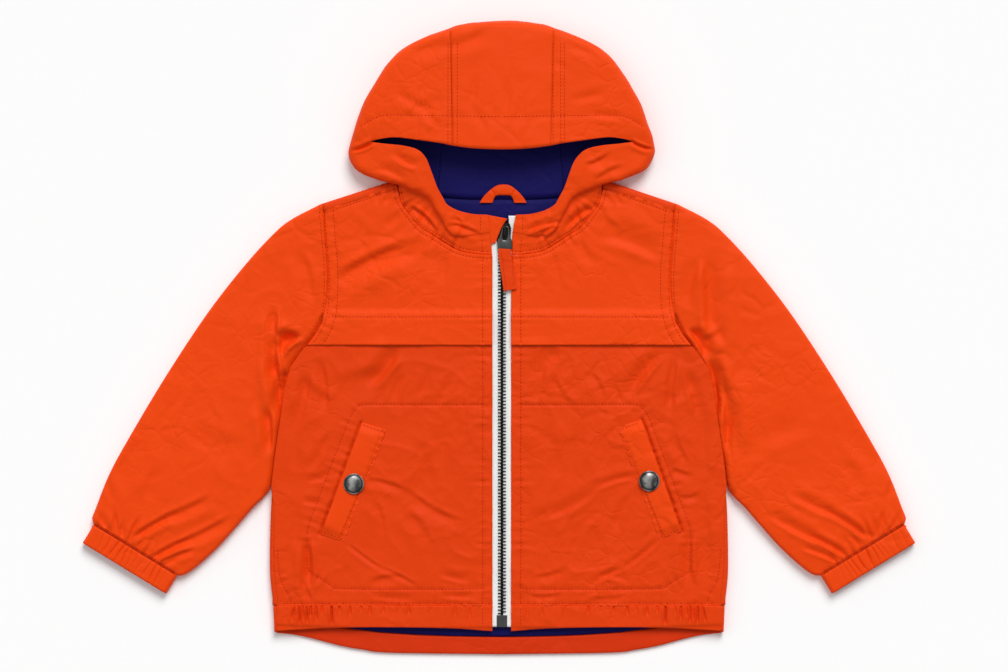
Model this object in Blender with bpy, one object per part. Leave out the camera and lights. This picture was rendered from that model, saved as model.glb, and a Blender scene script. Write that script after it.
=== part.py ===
"""A child's hooded rain jacket laid flat on its back, front up.

Every size below is in millimetres and is turned into metres when a mesh is made.
X runs across the jacket, Y from the hem towards the hood and Z up from the surface
that it lies on. Tables give one half, from the zip outwards, and each piece is made
for both sides. settle() then gives the middle the small drift of the laid-out cloth.
"""

import math
from collections import namedtuple

import bmesh
import bpy
from mathutils import Vector

MM = 0.001

# Walls and layers
WALL = 2.2  # shell, interlining and lining of one layer of the body
YOKE_WALL = 1.4
HOOD_WALL = 1.6
LINING_WALL = 1.0
HEM_WALL = 1.4
HEM_BAND_WALL = 2.0
WELT_WALL = 1.6
LOOP_WALL = 1.2
SEAM_GAP = 0.3
LAID_HEIGHT = 8.0  # the body's two layers and the air between them

BACK_MID = WALL / 2
FRONT_MID = LAID_HEIGHT - WALL / 2
HEM_BAND_MID = 7.2

# Places along the body
HEM_SEAM_Y = -200.6
ARMPIT_Y = -23.1
FRONT_TOP_Y = 8.0
YOKE_FLAP_Y = -5.8
YOKE_STEP = (15.0, 22.0)  # where the yoke comes down off the lower front
PLACKET_X = 7.4
NECK_POINT = Vector((78.9, 118.7))
SHOULDER_TIP = Vector((132.8, 99.9))
FOLD_TURN = 6.0  # how far the back comes round on to the front, at the sides and shoulders
DRIFT = 2.2  # how far the zip and the hood lie off the middle
DRIFT_FADE = 130.0

# The body's side fold: half width at a height
SIDE = (
    (168.9, -200.6),
    (171.4, -178.0),
    (171.4, -150.0),
    (170.2, -120.0),
    (166.7, -88.3),
    (162.2, -58.3),
    (159.0, -38.0),
    (157.7, -23.1),
)

# The armhole seam, from the armpit to the shoulder tip
ARMHOLE = (
    (153.7, -23.1),
    (146.5, -11.0),
    (136.5, 1.7),
    (130.0, 18.0),
    (128.6, 46.7),
    (130.5, 73.0),
    (132.4, 96.0),
)

BACK_NECK = (
    (0.0, 102.6),
    (23.3, 102.8),
    (48.0, 104.2),
    (60.0, 107.4),
    (70.0, 111.6),
    (77.6, 114.9),
)

FRONT_NECK = (
    (7.4, 61.3),
    (21.8, 62.5),
    (32.0, 64.8),
    (41.5, 70.0),
    (50.7, 76.0),
    (60.7, 82.4),
    (69.3, 92.9),
    (74.6, 100.6),
    (76.4, 107.5),
    (76.9, 112.7),
)

# Lower edges, from the middle out
BACK_HEM = (
    (0.0, -236.4),
    (80.0, -235.3),
    (101.0, -233.0),
    (117.4, -230.0),
    (137.0, -224.8),
    (151.0, -221.8),
    (164.3, -220.4),
)
HEM_FACING_TOP = (
    (0.0, -224.8),
    (40.0, -223.6),
    (61.0, -220.5),
    (90.0, -218.5),
    (120.0, -215.5),
    (150.0, -211.0),
)
FRONT_HEM = (
    (7.4, -219.8),
    (40.0, -217.6),
    (90.0, -216.8),
    (130.0, -217.6),
    (161.6, -219.8),
)

# The sleeve's outline, and its cuff
SLEEVE_OUTER = (
    (134.8, 99.2),
    (156.0, 87.9),
    (170.3, 75.9),
    (192.0, 51.9),
    (219.8, 15.9),
    (251.3, -32.1),
    (279.8, -80.1),
    (292.5, -104.1),
    (301.9, -128.1),
    (304.6, -135.0),
    (303.4, -140.2),
)
SLEEVE_INNER = (  # round the lower armhole, then down beside the body
    (131.4, 16.3),
    (138.1, 2.6),
    (148.4, -10.1),
    (159.2, -23.2),
    (161.0, -38.0),
    (163.1, -58.3),
    (167.6, -88.3),
    (171.8, -111.0),
    (176.0, -119.6),
    (184.5, -128.1),
    (205.5, -152.1),
    (217.5, -164.1),
    (228.0, -173.2),
    (235.6, -178.0),
    (240.8, -178.4),
)
SLEEVE_ARMHOLE = (  # between the first ends of the two above
    (131.9, 84.0),
    (131.0, 73.0),
    (129.1, 46.7),
    (129.6, 31.0),
)
CUFF_LENGTH = 15.8
CUFF_GAP = 0.7
CUFF_GATHERS = 10
CUFF_GATHER_DEPTH = 0.7
SLEEVE_GATHERS = 5
SLEEVE_GATHER_DEPTH = 1.0

HEM_GATHERS = 7
HEM_GATHER_RANGE = (112.0, 154.0)
HEM_GATHER_DEPTH = 0.8

# Soft troughs in the laid-out fronts and sleeves, from end to end
Fold = namedtuple("Fold", "start end width depth")
FOLDS = (
    Fold((-118.0, 46.0), (-58.0, 70.0), 9.0, 1.3),
    Fold((94.0, 92.0), (64.0, 66.0), 8.0, 1.0),
    Fold((-150.0, 65.0), (-139.0, 20.0), 8.0, 1.2),
    Fold((147.0, 60.0), (140.0, 18.0), 8.0, 1.2),
    Fold((-262.0, -160.0), (-213.0, -125.0), 8.0, 1.4),
    Fold((264.0, -158.0), (212.0, -118.0), 8.0, 1.4),
    Fold((-285.0, -140.0), (-262.0, -98.0), 7.0, 1.1),
    Fold((283.0, -141.0), (266.0, -104.0), 7.0, 1.1),
    Fold((-232.0, -60.0), (-196.0, -78.0), 9.0, 1.2),
    Fold((236.0, -64.0), (193.0, -72.0), 9.0, 1.2),
    Fold((-112.0, -158.0), (-62.0, -186.0), 8.0, 1.2),
    Fold((115.0, -156.0), (60.0, -180.0), 8.0, 1.2),
    Fold((-52.0, -112.0), (-34.0, -160.0), 7.0, 1.0),
    Fold((55.0, -100.0), (36.0, -142.0), 7.0, 1.0),
    Fold((-148.0, -60.0), (-146.0, -120.0), 6.0, 1.0),
    Fold((149.0, -56.0), (148.0, -112.0), 6.0, 1.0),
)

# The hood, one row for each line from its opening edge over the rim to the neck seam,
# from the zip round the cheek to the middle of the crown. edge, rim, under and neck are
# points; crest is the height of the upper layer where it begins to turn over the rim.
Meridian = namedtuple("Meridian", "edge crest rim under neck")
HOOD = (
    Meridian((10.6, 91.6, 8.8), 8.7, (8.0, 78.0, 8.2), (7.8, 74.0, 7.6), (7.4, 61.9, 6.9)),
    Meridian((20.0, 91.9, 9.8), 10.0, (22.6, 75.6, 9.2), (22.6, 72.6, 8.2), (21.6, 63.2, 6.9)),
    Meridian((27.3, 93.2, 11.0), 11.4, (34.2, 75.8, 10.2), (35.0, 72.8, 8.4), (31.6, 65.6, 6.9)),
    Meridian((34.1, 95.4, 12.2), 12.6, (40.0, 79.7, 11.0), (42.0, 77.4, 8.7), (41.0, 71.0, 6.9)),
    Meridian((40.3, 99.2, 13.6), 13.8, (44.3, 87.4, 11.6), (47.2, 85.4, 8.8), (50.2, 77.0, 6.9)),
    Meridian((43.4, 104.4, 14.8), 14.8, (49.5, 96.2, 12.0), (53.8, 93.6, 8.8), (60.0, 83.4, 6.9)),
    Meridian((47.4, 111.9, 15.8), 15.6, (54.7, 104.1, 12.4), (60.7, 101.0, 9.0), (68.5, 93.8, 6.9)),
    Meridian((51.2, 122.4, 16.8), 16.2, (66.0, 109.7, 13.0), (69.5, 107.6, 9.6), (73.6, 101.2, 7.1)),
    Meridian((55.6, 132.9, 17.6), 16.6, (78.2, 114.2, 13.2), (74.8, 113.8, 10.4), (75.3, 108.6, 7.3)),
    Meridian((62.6, 139.7, 18.0), 16.4, (92.6, 117.9, 12.8), (76.6, 121.6, 9.8), (75.2, 114.6, 6.4)),
    Meridian((73.9, 142.7, 18.0), 15.6, (106.4, 123.9, 10.4), (87.0, 128.6, 4.0), (75.0, 118.4, 4.0)),
    Meridian((87.4, 144.2, 17.0), 14.6, (111.8, 129.9, 8.8), (95.0, 132.2, 1.0), (73.9, 117.6, 1.7)),
    Meridian((98.6, 146.0, 16.0), 14.4, (114.7, 137.4, 8.2), (101.5, 138.6, 1.0), (72.0, 116.4, 1.0)),
    Meridian((92.0, 147.6, 17.4), 15.6, (113.4, 146.5, 8.6), (101.5, 147.0, 1.0), (69.0, 114.0, 1.0)),
    Meridian((79.1, 148.8, 19.4), 17.6, (109.5, 158.5, 9.4), (97.5, 157.0, 1.0), (65.2, 111.4, 1.0)),
    Meridian((62.6, 146.7, 21.6), 18.8, (100.2, 182.0, 10.0), (89.0, 178.5, 1.0), (60.0, 108.9, 1.0)),
    Meridian((45.4, 144.2, 23.0), 19.4, (76.0, 214.0, 10.4), (68.5, 205.5, 1.0), (54.0, 106.9, 1.0)),
    Meridian((36.4, 142.4, 23.8), 19.8, (39.0, 231.2, 10.4), (37.2, 220.8, 1.0), (48.0, 105.4, 1.0)),
    Meridian((20.0, 140.2, 24.6), 20.0, (19.5, 235.4, 10.4), (18.8, 224.6, 1.0), (24.0, 103.9, 1.0)),
    Meridian((0.0, 139.5, 25.0), 20.0, (0.0, 236.4, 10.4), (0.0, 225.4, 1.0), (0.0, 103.6, 1.0)),
)
HOOD_MIDDLE = len(HOOD) - 1
HOOD_SEAM = 17  # the row that the centre panel's seam follows
HOOD_FINE_FROM = 12  # from this row on, rows are far apart and are parted in HOOD_FINE
HOOD_FINE = 3
HOOD_SEAM_SHARE = 0.014  # half the gap at that seam, as a share of a row
HOOD_LINED_FROM = 13
RIM_ROUND = 9.0

# Pocket welts: corners, the free edge first
WELT_FREE_TOP = (104.6, -62.7)
WELT_FREE_FOOT = (135.5, -146.8)
WELT_SEWN_TOP = (87.2, -68.2)
WELT_SEWN_FOOT = (120.6, -152.2)
SNAP_PLACE = (110.7, -108.8)
SNAP_RADIUS = 7.75
SNAP_HEIGHT = 1.9
SNAP_SEGMENTS = 28

# Zip
TAPE_MID = 5.05
TAPE_WALL = 0.9
CHAIN_HALF = 3.0
CHAIN_FOOT_Y = -207.4
CHAIN_TOP_Y = 71.6
CHAIN_Z = (3.8, 6.4)
STOP_Y = (-216.8, -207.7)
TAPE_EDGES = (  # height, inner edge, outer edge
    (-216.6, 3.3, 12.0),
    (50.0, 3.3, 12.0),
    (72.0, 5.3, 12.4),
    (84.0, 5.8, 13.0),
    (90.0, 5.0, 13.6),
)
PULL_HINGE = (4.8, 82.6, 8.75)
PULL_TURN = math.radians(-4.0)
LINK_WALL = 1.2
LINK_OUTLINE = ((2.1, 0.6), (2.5, -0.8), (4.7, -9.0), (5.5, -14.6), (5.5, -18.0))
LINK_EYE = ((1.3, -0.6), (3.3, -9.3))
LINK_SLOT = ((4.65, -14.6), (4.65, -16.9))
PULL_STRIP_HALF = 4.4


def clear_scene():
    for old in list(bpy.data.objects):
        bpy.data.objects.remove(old)


def make_material(name, colour, roughness, metallic=0.0):
    made = bpy.data.materials.new(name)
    made.use_nodes = True
    shader = made.node_tree.nodes["Principled BSDF"]
    shader.inputs["Base Color"].default_value = (*colour, 1.0)
    shader.inputs["Roughness"].default_value = roughness
    shader.inputs["Metallic"].default_value = metallic
    return made


def blend(a, b, share):
    return a + (b - a) * share


def ease(value):
    held = min(max(value, 0.0), 1.0)
    return held * held * (3.0 - 2.0 * held)


def steps(count):
    return [i / count for i in range(count + 1)]


def read(table, value):
    """The second column of a table at a value of its first, which rises."""
    for (low, at_low), (high, at_high) in zip(table, table[1:]):
        if value <= high:
            return blend(at_low, at_high, max(value - low, 0.0) / (high - low))
    return table[-1][1]


def settle(x, y):
    """The sideways drift of the zip, the neck and the hood."""
    near_middle = max(1.0 - abs(x) / DRIFT_FADE, 0.0)
    return x + DRIFT * max(near_middle, ease((y - 100.0) / 50.0))


def relief(x, y):
    """How far the soft troughs lower the cloth at a place."""
    here = Vector((x, y))
    lowered = 0.0
    for fold in FOLDS:
        start = Vector(fold.start)
        along = Vector(fold.end) - start
        share = (here - start).dot(along) / along.length_squared
        nearest = start + along * min(max(share, 0.0), 1.0)
        lowered += fold.depth * math.exp(-(((here - nearest).length / fold.width) ** 2))
    return min(lowered, 1.6)


def along(line, share):
    """The point of a line of points at a share of its length."""
    points = [Vector(point) for point in line]
    lengths = [(b - a).length for a, b in zip(points, points[1:])]
    left = share * sum(lengths)
    for a, b, length in zip(points, points[1:], lengths):
        if left <= length:
            return a.lerp(b, left / length)
        left -= length
    return points[-1]


def line_length(line):
    return sum((Vector(b) - Vector(a)).length for a, b in zip(line, line[1:]))


class Patch:
    """A panel's plan between four edges: foot and head run outwards, inner and outer upwards."""

    def __init__(self, foot, head, inner, outer):
        self.foot, self.head, self.inner, self.outer = foot, head, inner, outer

    def point(self, across, up):
        foot, head = along(self.foot, across), along(self.head, across)
        inner, outer = along(self.inner, up), along(self.outer, up)
        corners = (Vector(self.foot[0]), Vector(self.foot[-1]), Vector(self.head[0]), Vector(self.head[-1]))
        ruled = foot.lerp(head, up) + inner.lerp(outer, across)
        return ruled - corners[0].lerp(corners[1], across).lerp(corners[2].lerp(corners[3], across), up)

    def grid(self, side, columns, rows, height):
        """Rows of points on one side of the jacket, at the height that a function gives."""
        found = []
        for up in rows:
            row = []
            for across in columns:
                x, y = self.point(across, up)
                row.append((side * x, y, height(side * x, y)))
            found.append(row)
        return found


def new_object(name, mesh, material):
    data = bpy.data.meshes.new(name)
    mesh.to_mesh(data)
    mesh.free()
    made = bpy.data.objects.new(name, data)
    made.data.materials.append(material)
    bpy.context.scene.collection.objects.link(made)
    return made


def cloth(name, grids, wall, material, even=True):
    """A wall of cloth whose middle is given as grids of points. Points that meet are made one."""
    mesh = bmesh.new()
    known = {}

    def corner(point):
        key = tuple(round(value, 2) for value in point)
        if key not in known:
            x, y, z = point
            known[key] = mesh.verts.new((settle(x, y) * MM, y * MM, z * MM))
        return known[key]

    for grid in grids:
        for near, far in zip(grid, grid[1:]):
            for i in range(len(near) - 1):
                ring = []
                for point in (near[i], near[i + 1], far[i + 1], far[i]):
                    if corner(point) not in ring:
                        ring.append(corner(point))
                if len(ring) > 2:
                    mesh.faces.new(ring)
    bmesh.ops.recalc_face_normals(mesh, faces=mesh.faces[:])
    made = new_object(name, mesh, material)
    made.data.shade_smooth()
    thickness = made.modifiers.new("Wall", "SOLIDIFY")
    thickness.thickness = wall * MM
    thickness.offset = 0.0
    thickness.use_even_offset = even
    return made


def rolled(edge, outward, low, high, wall, turn):
    """From a row of points on the lower layer round a fold to a row on the upper one."""
    radius = (high - low) / 2
    middle = (high + low) / 2
    rows = []
    for degrees in (-90, -45, 0, 45, 90):
        angle = math.radians(degrees)
        reach = radius * math.cos(angle)
        rise = middle + radius * math.sin(angle)
        rows.append([(x + outward[0] * reach, y + outward[1] * reach, rise) for x, y, z in edge])
    back = turn - radius - wall / 2
    rows.append([(x - outward[0] * back, y - outward[1] * back, high) for x, y, z in edge])
    return rows


def flat_at(level):
    return lambda x, y: level


def front_height(x, y):
    return FRONT_MID - relief(x, y)


def yoke_height(x, y):
    over = LAID_HEIGHT + SEAM_GAP + YOKE_WALL / 2
    level = LAID_HEIGHT - YOKE_WALL / 2 - relief(x, y)
    return blend(over, level, ease((y - YOKE_STEP[0]) / (YOKE_STEP[1] - YOKE_STEP[0])))


def shoulder_line(inset):
    across = (SHOULDER_TIP - NECK_POINT).normalized()
    out = Vector((-across.y, across.x))
    return (NECK_POINT - out * inset, SHOULDER_TIP - out * inset), out


def side_line(inset):
    return [(x - inset, y) for x, y in SIDE]


def make_back(material):
    """The back: one flat layer that folds round each side and over each shoulder to its seam."""
    inset = (FRONT_MID - BACK_MID) / 2 + WALL / 2
    shoulder, shoulder_out = shoulder_line(inset)
    foot_y = HEM_SEAM_Y + SEAM_GAP
    sides = [(SIDE[0][0] - inset, foot_y)] + side_line(inset)[1:]
    armhole = [(x - SEAM_GAP / 2, y) for x, y in ARMHOLE[1:]] + [tuple(shoulder[1])]
    head = list(BACK_NECK) + [tuple(shoulder[1])]
    outer = sides + armhole
    panel = Patch([(0.0, foot_y), sides[0]], head, [(0.0, foot_y), BACK_NECK[0]], outer)
    armpit = line_length(sides) / line_length(outer)
    neck = line_length(BACK_NECK) / line_length(head)
    columns = [neck * share for share in steps(5)] + [blend(neck, 1.0, share) for share in steps(3)[1:]]
    rows = [armpit * share for share in steps(7)] + [blend(armpit, 1.0, share) for share in steps(5)[1:]]
    grids = []
    for side in (-1, 1):
        flat = panel.grid(side, columns, rows, flat_at(BACK_MID))
        grids.append(flat)
        side_edge = [row[-1] for row in flat[:8]]
        grids.append(rolled(side_edge, (side, 0.0), BACK_MID, FRONT_MID, WALL, FOLD_TURN))
        top_edge = flat[-1][5:]
        outward = (side * shoulder_out.x, shoulder_out.y)
        grids.append(rolled(top_edge, outward, BACK_MID, FRONT_MID, WALL, FOLD_TURN))
    return cloth("back_panel", grids, WALL, material)


def make_front(label, side, material):
    """A lower front, from the zip to the side seam and up under the yoke."""
    foot_y = HEM_SEAM_Y + SEAM_GAP
    seam = side_line(FOLD_TURN + SEAM_GAP)
    seam[0] = (seam[0][0], foot_y)
    armhole = [(146.0, -11.0), (136.0, 1.7), (133.4, FRONT_TOP_Y)]
    outer = seam + armhole
    inner = [(PLACKET_X, foot_y), (PLACKET_X, FRONT_TOP_Y)]
    panel = Patch([inner[0], outer[0]], [inner[1], outer[-1]], inner, outer)
    grid = panel.grid(side, steps(12), steps(15), front_height)
    return cloth("front_" + label, [grid], WALL, material)


def make_yoke(label, side, material):
    """A front yoke. Its lower edge is free and laps the lower front."""
    shoulder, _ = shoulder_line(FOLD_TURN + SEAM_GAP)
    head = list(FRONT_NECK[:-1]) + [tuple(shoulder[0]), tuple(shoulder[1])]
    outer = [(141.4, YOKE_FLAP_Y), (136.0, 1.7)]
    outer += [(x - SEAM_GAP, y) for x, y in ARMHOLE[3:6]] + [tuple(shoulder[1])]
    inner = [(PLACKET_X, YOKE_FLAP_Y), FRONT_NECK[0]]
    panel = Patch([inner[0], outer[0]], head, inner, outer)
    neck = line_length(head[:-1]) / line_length(head)
    columns = [neck * share for share in steps(9)] + [blend(neck, 1.0, share) for share in steps(4)[1:]]
    rows = (0.0, 0.08, 0.16, 0.24, 0.32, 0.4, 0.5, 0.6, 0.7, 0.8, 0.9, 1.0)
    grid = panel.grid(side, columns, rows, yoke_height)
    return cloth("yoke_" + label, [grid], YOKE_WALL, material)


def inset_line(line, distance):
    """A line moved to its left by a distance, point by point."""
    points = [Vector(point) for point in line]
    moved = []
    for i, point in enumerate(points):
        before = (point - points[i - 1]).normalized() if i else None
        after = (points[i + 1] - point).normalized() if i < len(points) - 1 else None
        if before is None or after is None:
            tangent = after or before
            moved.append(point + Vector((-tangent.y, tangent.x)) * distance)
            continue
        tangent = (before + after).normalized()
        stretch = distance / max(tangent.dot(before), 0.5)
        moved.append(point + Vector((-tangent.y, tangent.x)) * stretch)
    return [tuple(point) for point in moved]


class Tube:
    """A flattened tube's plan: its two folds and, between them, its first and last edges."""

    def __init__(self, left_fold, right_fold, first, wall):
        self.radius = (FRONT_MID - BACK_MID) / 2
        self.left = inset_line(left_fold, -(self.radius + wall / 2))
        self.right = inset_line(right_fold, self.radius + wall / 2)
        start = [self.left[0], *first, self.right[0]]
        self.panel = Patch(start, [self.left[-1], self.right[-1]], self.left, self.right)

    def turned(self, line, up, side, degrees):
        """A point of the fold along a line; side is 1 where outside lies to the line's left."""
        ahead = along(line, min(up + 0.015, 1.0)) - along(line, max(up - 0.015, 0.0))
        ahead.normalize()
        outward = Vector((-ahead.y, ahead.x)) * side
        angle = math.radians(degrees)
        x, y = along(line, up) + outward * self.radius * math.cos(angle)
        return x, y, BACK_MID + self.radius * (1 + math.sin(angle))

    def ring(self, side, up, over, under, lift):
        """One closed ring on one side of the jacket. lift raises the upper layer."""
        found = []
        for share in steps(over):
            found.append((*self.panel.point(share, up), FRONT_MID + lift(share, up)))
        found += [self.turned(self.right, up, -1, degrees) for degrees in (45, 0, -45)]
        for share in steps(under):
            found.append((*self.panel.point(1 - share, up), BACK_MID))
        found += [self.turned(self.left, up, 1, degrees) for degrees in (-45, 0, 45)]
        ring = []
        for x, y, z in found + found[:1]:
            on_top = ease((z - BACK_MID - self.radius) / self.radius)
            ring.append((side * x, y, z - on_top * relief(side * x, y)))
        return ring


def make_sleeve(label, side, material):
    """A sleeve: a flattened tube from the armhole, gathered where it meets the cuff."""
    tube = Tube(SLEEVE_OUTER, SLEEVE_INNER, SLEEVE_ARMHOLE, WALL)

    def gathers(share, up):
        wave = 0.5 - 0.5 * math.cos(2 * math.pi * SLEEVE_GATHERS * share)
        return -SLEEVE_GATHER_DEPTH * wave * ease((up - 0.78) / 0.2)

    rows = (0.0, 0.065, 0.134, 0.206, 0.29, 0.38, 0.48, 0.58, 0.68, 0.78, 0.87, 0.94, 0.98, 1.0)
    grid = [tube.ring(side, up, 15, 4, gathers) for up in rows]
    return cloth("sleeve_" + label, [grid], WALL, material, even=False)


def make_cuff(label, side, material):
    """A gathered cuff band, open at its end."""
    top_outer, top_inner = Vector(SLEEVE_OUTER[-1]), Vector(SLEEVE_INNER[-1])
    across = (top_inner - top_outer).normalized()
    down = Vector((-across.y, across.x))
    near, far = down * CUFF_GAP, down * CUFF_LENGTH
    outer_fold = [tuple(top_outer + near), tuple(top_outer + far)]
    inner_fold = [tuple(top_inner + near), tuple(top_inner + far)]
    tube = Tube(outer_fold, inner_fold, (), WALL)

    def gathers(share, up):
        return -CUFF_GATHER_DEPTH * (0.5 - 0.5 * math.cos(2 * math.pi * CUFF_GATHERS * share))

    grid = [tube.ring(side, up, 4 * CUFF_GATHERS, 4, gathers) for up in (0.0, 0.5, 1.0)]
    return cloth("cuff_" + label, [grid], WALL, material, even=False)


def make_hem_back(material):
    """The back hem band. It comes round each side, and its lower edge is turned in."""
    low = HEM_WALL / 2
    inset = (HEM_BAND_MID - low) / 2 + HEM_WALL / 2
    head_y = HEM_SEAM_Y - SEAM_GAP
    outer = [(168.2 - inset, BACK_HEM[-1][1]), (168.8 - inset, head_y)]
    panel = Patch(BACK_HEM, [(0.0, head_y), outer[1]], [BACK_HEM[0], (0.0, head_y)], outer)
    radius = (HEM_WALL + SEAM_GAP) / 2
    columns = [0.92 * share for share in steps(10)] + [1.0]
    grids = []
    for side in (-1, 1):
        flat = panel.grid(side, columns, steps(3), flat_at(low))
        edge = flat[0][:-1]
        lower = [[(x, y, z) for x, y, z in edge]]
        for degrees in (-45, 0, 45, 90):
            angle = math.radians(degrees)
            drop = radius * math.cos(angle)
            lower.append([(x, y - drop, low + radius + radius * math.sin(angle)) for x, y, z in edge])
        lower.append([(x, read(HEM_FACING_TOP, abs(x)), low + 2 * radius) for x, y, z in edge])
        grids += [flat, lower]
        side_edge = [row[-1] for row in flat]
        grids.append(rolled(side_edge, (side, 0.0), low, HEM_BAND_MID, HEM_WALL, FOLD_TURN))
    return cloth("hem_back", grids, HEM_WALL, material)


def make_hem_front(label, side, material):
    """A front hem band, puckered towards the side seam."""
    head_y = HEM_SEAM_Y - SEAM_GAP
    seam_x = 168.2 - FOLD_TURN - SEAM_GAP
    inner = [FRONT_HEM[0], (PLACKET_X, head_y)]
    outer = [(seam_x, FRONT_HEM[-1][1]), (seam_x + 0.4, head_y)]
    foot = list(FRONT_HEM[:-1]) + [outer[0]]
    panel = Patch(foot, [inner[1], outer[1]], inner, outer)
    first, last = HEM_GATHER_RANGE

    def height(x, y):
        share = (abs(x) - first) / (last - first)
        if not 0.0 < share < 1.0:
            return HEM_BAND_MID
        wave = 0.5 - 0.5 * math.cos(2 * math.pi * HEM_GATHERS * share)
        near_seam = blend(0.5, 1.0, ease((y + 219.0) / 18.0))
        return HEM_BAND_MID - HEM_GATHER_DEPTH * wave * near_seam

    start = (first - PLACKET_X) / (seam_x - PLACKET_X)
    end = (last - PLACKET_X) / (seam_x - PLACKET_X)
    columns = [start * share for share in steps(6)]
    columns += [blend(start, end, share) for share in steps(4 * HEM_GATHERS)[1:]] + [1.0]
    return cloth("hem_front_" + label, [panel.grid(side, columns, steps(2), height)], HEM_BAND_WALL, material)


def make_hem_lining(material):
    """The strip of lining that shows above the back hem's turned-in edge."""
    mid = HEM_WALL + SEAM_GAP + LINING_WALL / 2
    grids = []
    for side in (-1, 1):
        rows = []
        for share in steps(2):
            row = []
            for across in steps(8):
                x = 140.0 * across
                foot_y = read(HEM_FACING_TOP, x) + 2 * SEAM_GAP
                row.append((side * x, blend(foot_y, HEM_SEAM_Y - 3.0, share), mid))
            rows.append(row)
        grids.append(rows)
    return cloth("hem_lining", grids, LINING_WALL, material)


def mirrored(meridian):
    def flip(point):
        return (-point[0], point[1], point[2])

    return Meridian(
        flip(meridian.edge), meridian.crest, flip(meridian.rim), flip(meridian.under), flip(meridian.neck)
    )


def flat_values(meridian):
    return [*meridian.edge, meridian.crest, *meridian.rim, *meridian.under, *meridian.neck]


HOOD_ROUND = [flat_values(mirrored(row)) for row in HOOD] + [flat_values(row) for row in HOOD[-2::-1]]


def hood_row(place):
    """The hood's row at any place along its opening, smooth between the rows of the table."""
    last = len(HOOD_ROUND) - 1
    first = min(int(place), last - 1)
    t = place - first
    rows = [HOOD_ROUND[min(max(first + i, 0), last)] for i in (-1, 0, 1, 2)]
    values = []
    for a, b, c, d in zip(*rows):
        curve = 2 * b + (c - a) * t + (2 * a - 5 * b + 4 * c - d) * t**2 + (3 * b - a - 3 * c + d) * t**3
        values.append(curve / 2)
    return values[0:3], values[3], values[4:7], values[7:10], values[10:13]


def hood_section(place):
    """The middle of the hood's cloth from its opening edge, over the rim, to the neck seam."""
    edge, crest, rim, under, neck = (
        Vector(value) if isinstance(value, list) else value for value in hood_row(place)
    )
    outward = (rim - edge).to_2d().to_3d()
    reach = outward.length
    outward.normalize()
    rim = rim - outward * (HOOD_WALL / 2)
    turn = rim - outward * min(RIM_ROUND, 0.4 * reach)
    turn.z = crest
    points = [edge.lerp(turn, share) for share in (0.0, 0.3, 0.65, 1.0)]
    for degrees in (35, 65, 90):
        angle = math.radians(degrees)
        place_on = turn.lerp(rim, math.sin(angle))
        place_on.z = rim.z + (crest - rim.z) * math.cos(angle)
        points.append(place_on)
    for degrees in (35, 65, 90):
        angle = math.radians(degrees)
        place_on = rim.lerp(under, 1 - math.cos(angle))
        place_on.z = rim.z + (under.z - rim.z) * math.sin(angle)
        points.append(place_on)
    points += [under.lerp(neck, share) for share in (0.35, 0.7, 1.0)]
    return points


def hood_places(first, last):
    """Where the hood's rows are made between two places, closer together over the crown."""
    found = [first]
    for i in range(HOOD_FINE * len(HOOD_ROUND)):
        place = i / HOOD_FINE
        fine = abs(place - HOOD_MIDDLE) < HOOD_MIDDLE - HOOD_FINE_FROM + 0.1
        if first < place < last and (fine or i % HOOD_FINE == 0):
            found.append(place)
    return found + [last]


def make_hood(label, first, last, material):
    grid = [[tuple(point) for point in hood_section(place)] for place in hood_places(first, last)]
    return cloth("hood_" + label, [grid], HOOD_WALL, material, even=False)


def make_hood_lining(label, first, last, material):
    """Lining inside the hood: the hood's own sections, moved in through its wall."""
    inwards = HOOD_WALL / 2 + SEAM_GAP + LINING_WALL / 2
    nudge = 0.02
    grid = []
    for place in hood_places(first, last):
        here = hood_section(place)
        before, after = hood_section(place - nudge), hood_section(place + nudge)
        row = []
        for i in range(1, len(here)):
            up = here[min(i + 1, len(here) - 1)] - here[i - 1]
            normal = (after[i] - before[i]).cross(up).normalized()
            row.append(tuple(here[i] - normal * inwards))
        grid.append(row)
    return cloth("hood_lining_" + label, [grid], LINING_WALL, material, even=False)


def make_neck_lining(material):
    """The lining inside the back neck, from the neck seam down under the collar."""
    mid = WALL + SEAM_GAP + LINING_WALL / 2
    grids = []
    for side in (-1, 1):
        rows = []
        for share in steps(2):
            row = []
            for across in steps(6):
                x = 68.0 * across
                top = read(BACK_NECK, x) - 2 * SEAM_GAP
                row.append((side * x, blend(86.5, top, share), mid))
            rows.append(row)
        grids.append(rows)
    return cloth("neck_lining", grids, LINING_WALL, material)


def make_hanger_loop(material):
    """A flat loop of shell cloth, its two ends in the back neck seam."""
    pairs = (  # outer and inner edge, from one end to the top
        ((17.6, 100.7), (7.9, 100.7)),
        ((15.0, 105.0), (7.2, 103.4)),
        ((12.2, 109.2), (5.8, 105.9)),
        ((6.4, 113.4), (2.6, 106.4)),
        ((0.0, 114.8), (0.0, 106.4)),
    )
    middle_x = 1.2
    rows = []
    for side, chosen in ((-1, pairs), (1, pairs[-2::-1])):
        for outer, inner in chosen:
            middle = ((outer[0] + inner[0]) / 2, (outer[1] + inner[1]) / 2)
            rows.append([(middle_x + side * x, y, 4.4) for x, y in (outer, middle, inner)])
    return cloth("hanger_loop", [rows], LOOP_WALL, material)


def make_welt(label, side, material):
    """A slanted pocket welt on the lower front, its outer edge free."""
    level = LAID_HEIGHT + SEAM_GAP + WELT_WALL / 2
    panel = Patch(
        [WELT_SEWN_FOOT, WELT_FREE_FOOT],
        [WELT_SEWN_TOP, WELT_FREE_TOP],
        [WELT_SEWN_FOOT, WELT_SEWN_TOP],
        [WELT_FREE_FOOT, WELT_FREE_TOP],
    )
    return cloth("welt_" + label, [panel.grid(side, steps(3), steps(6), flat_at(level))], WELT_WALL, material)


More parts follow.
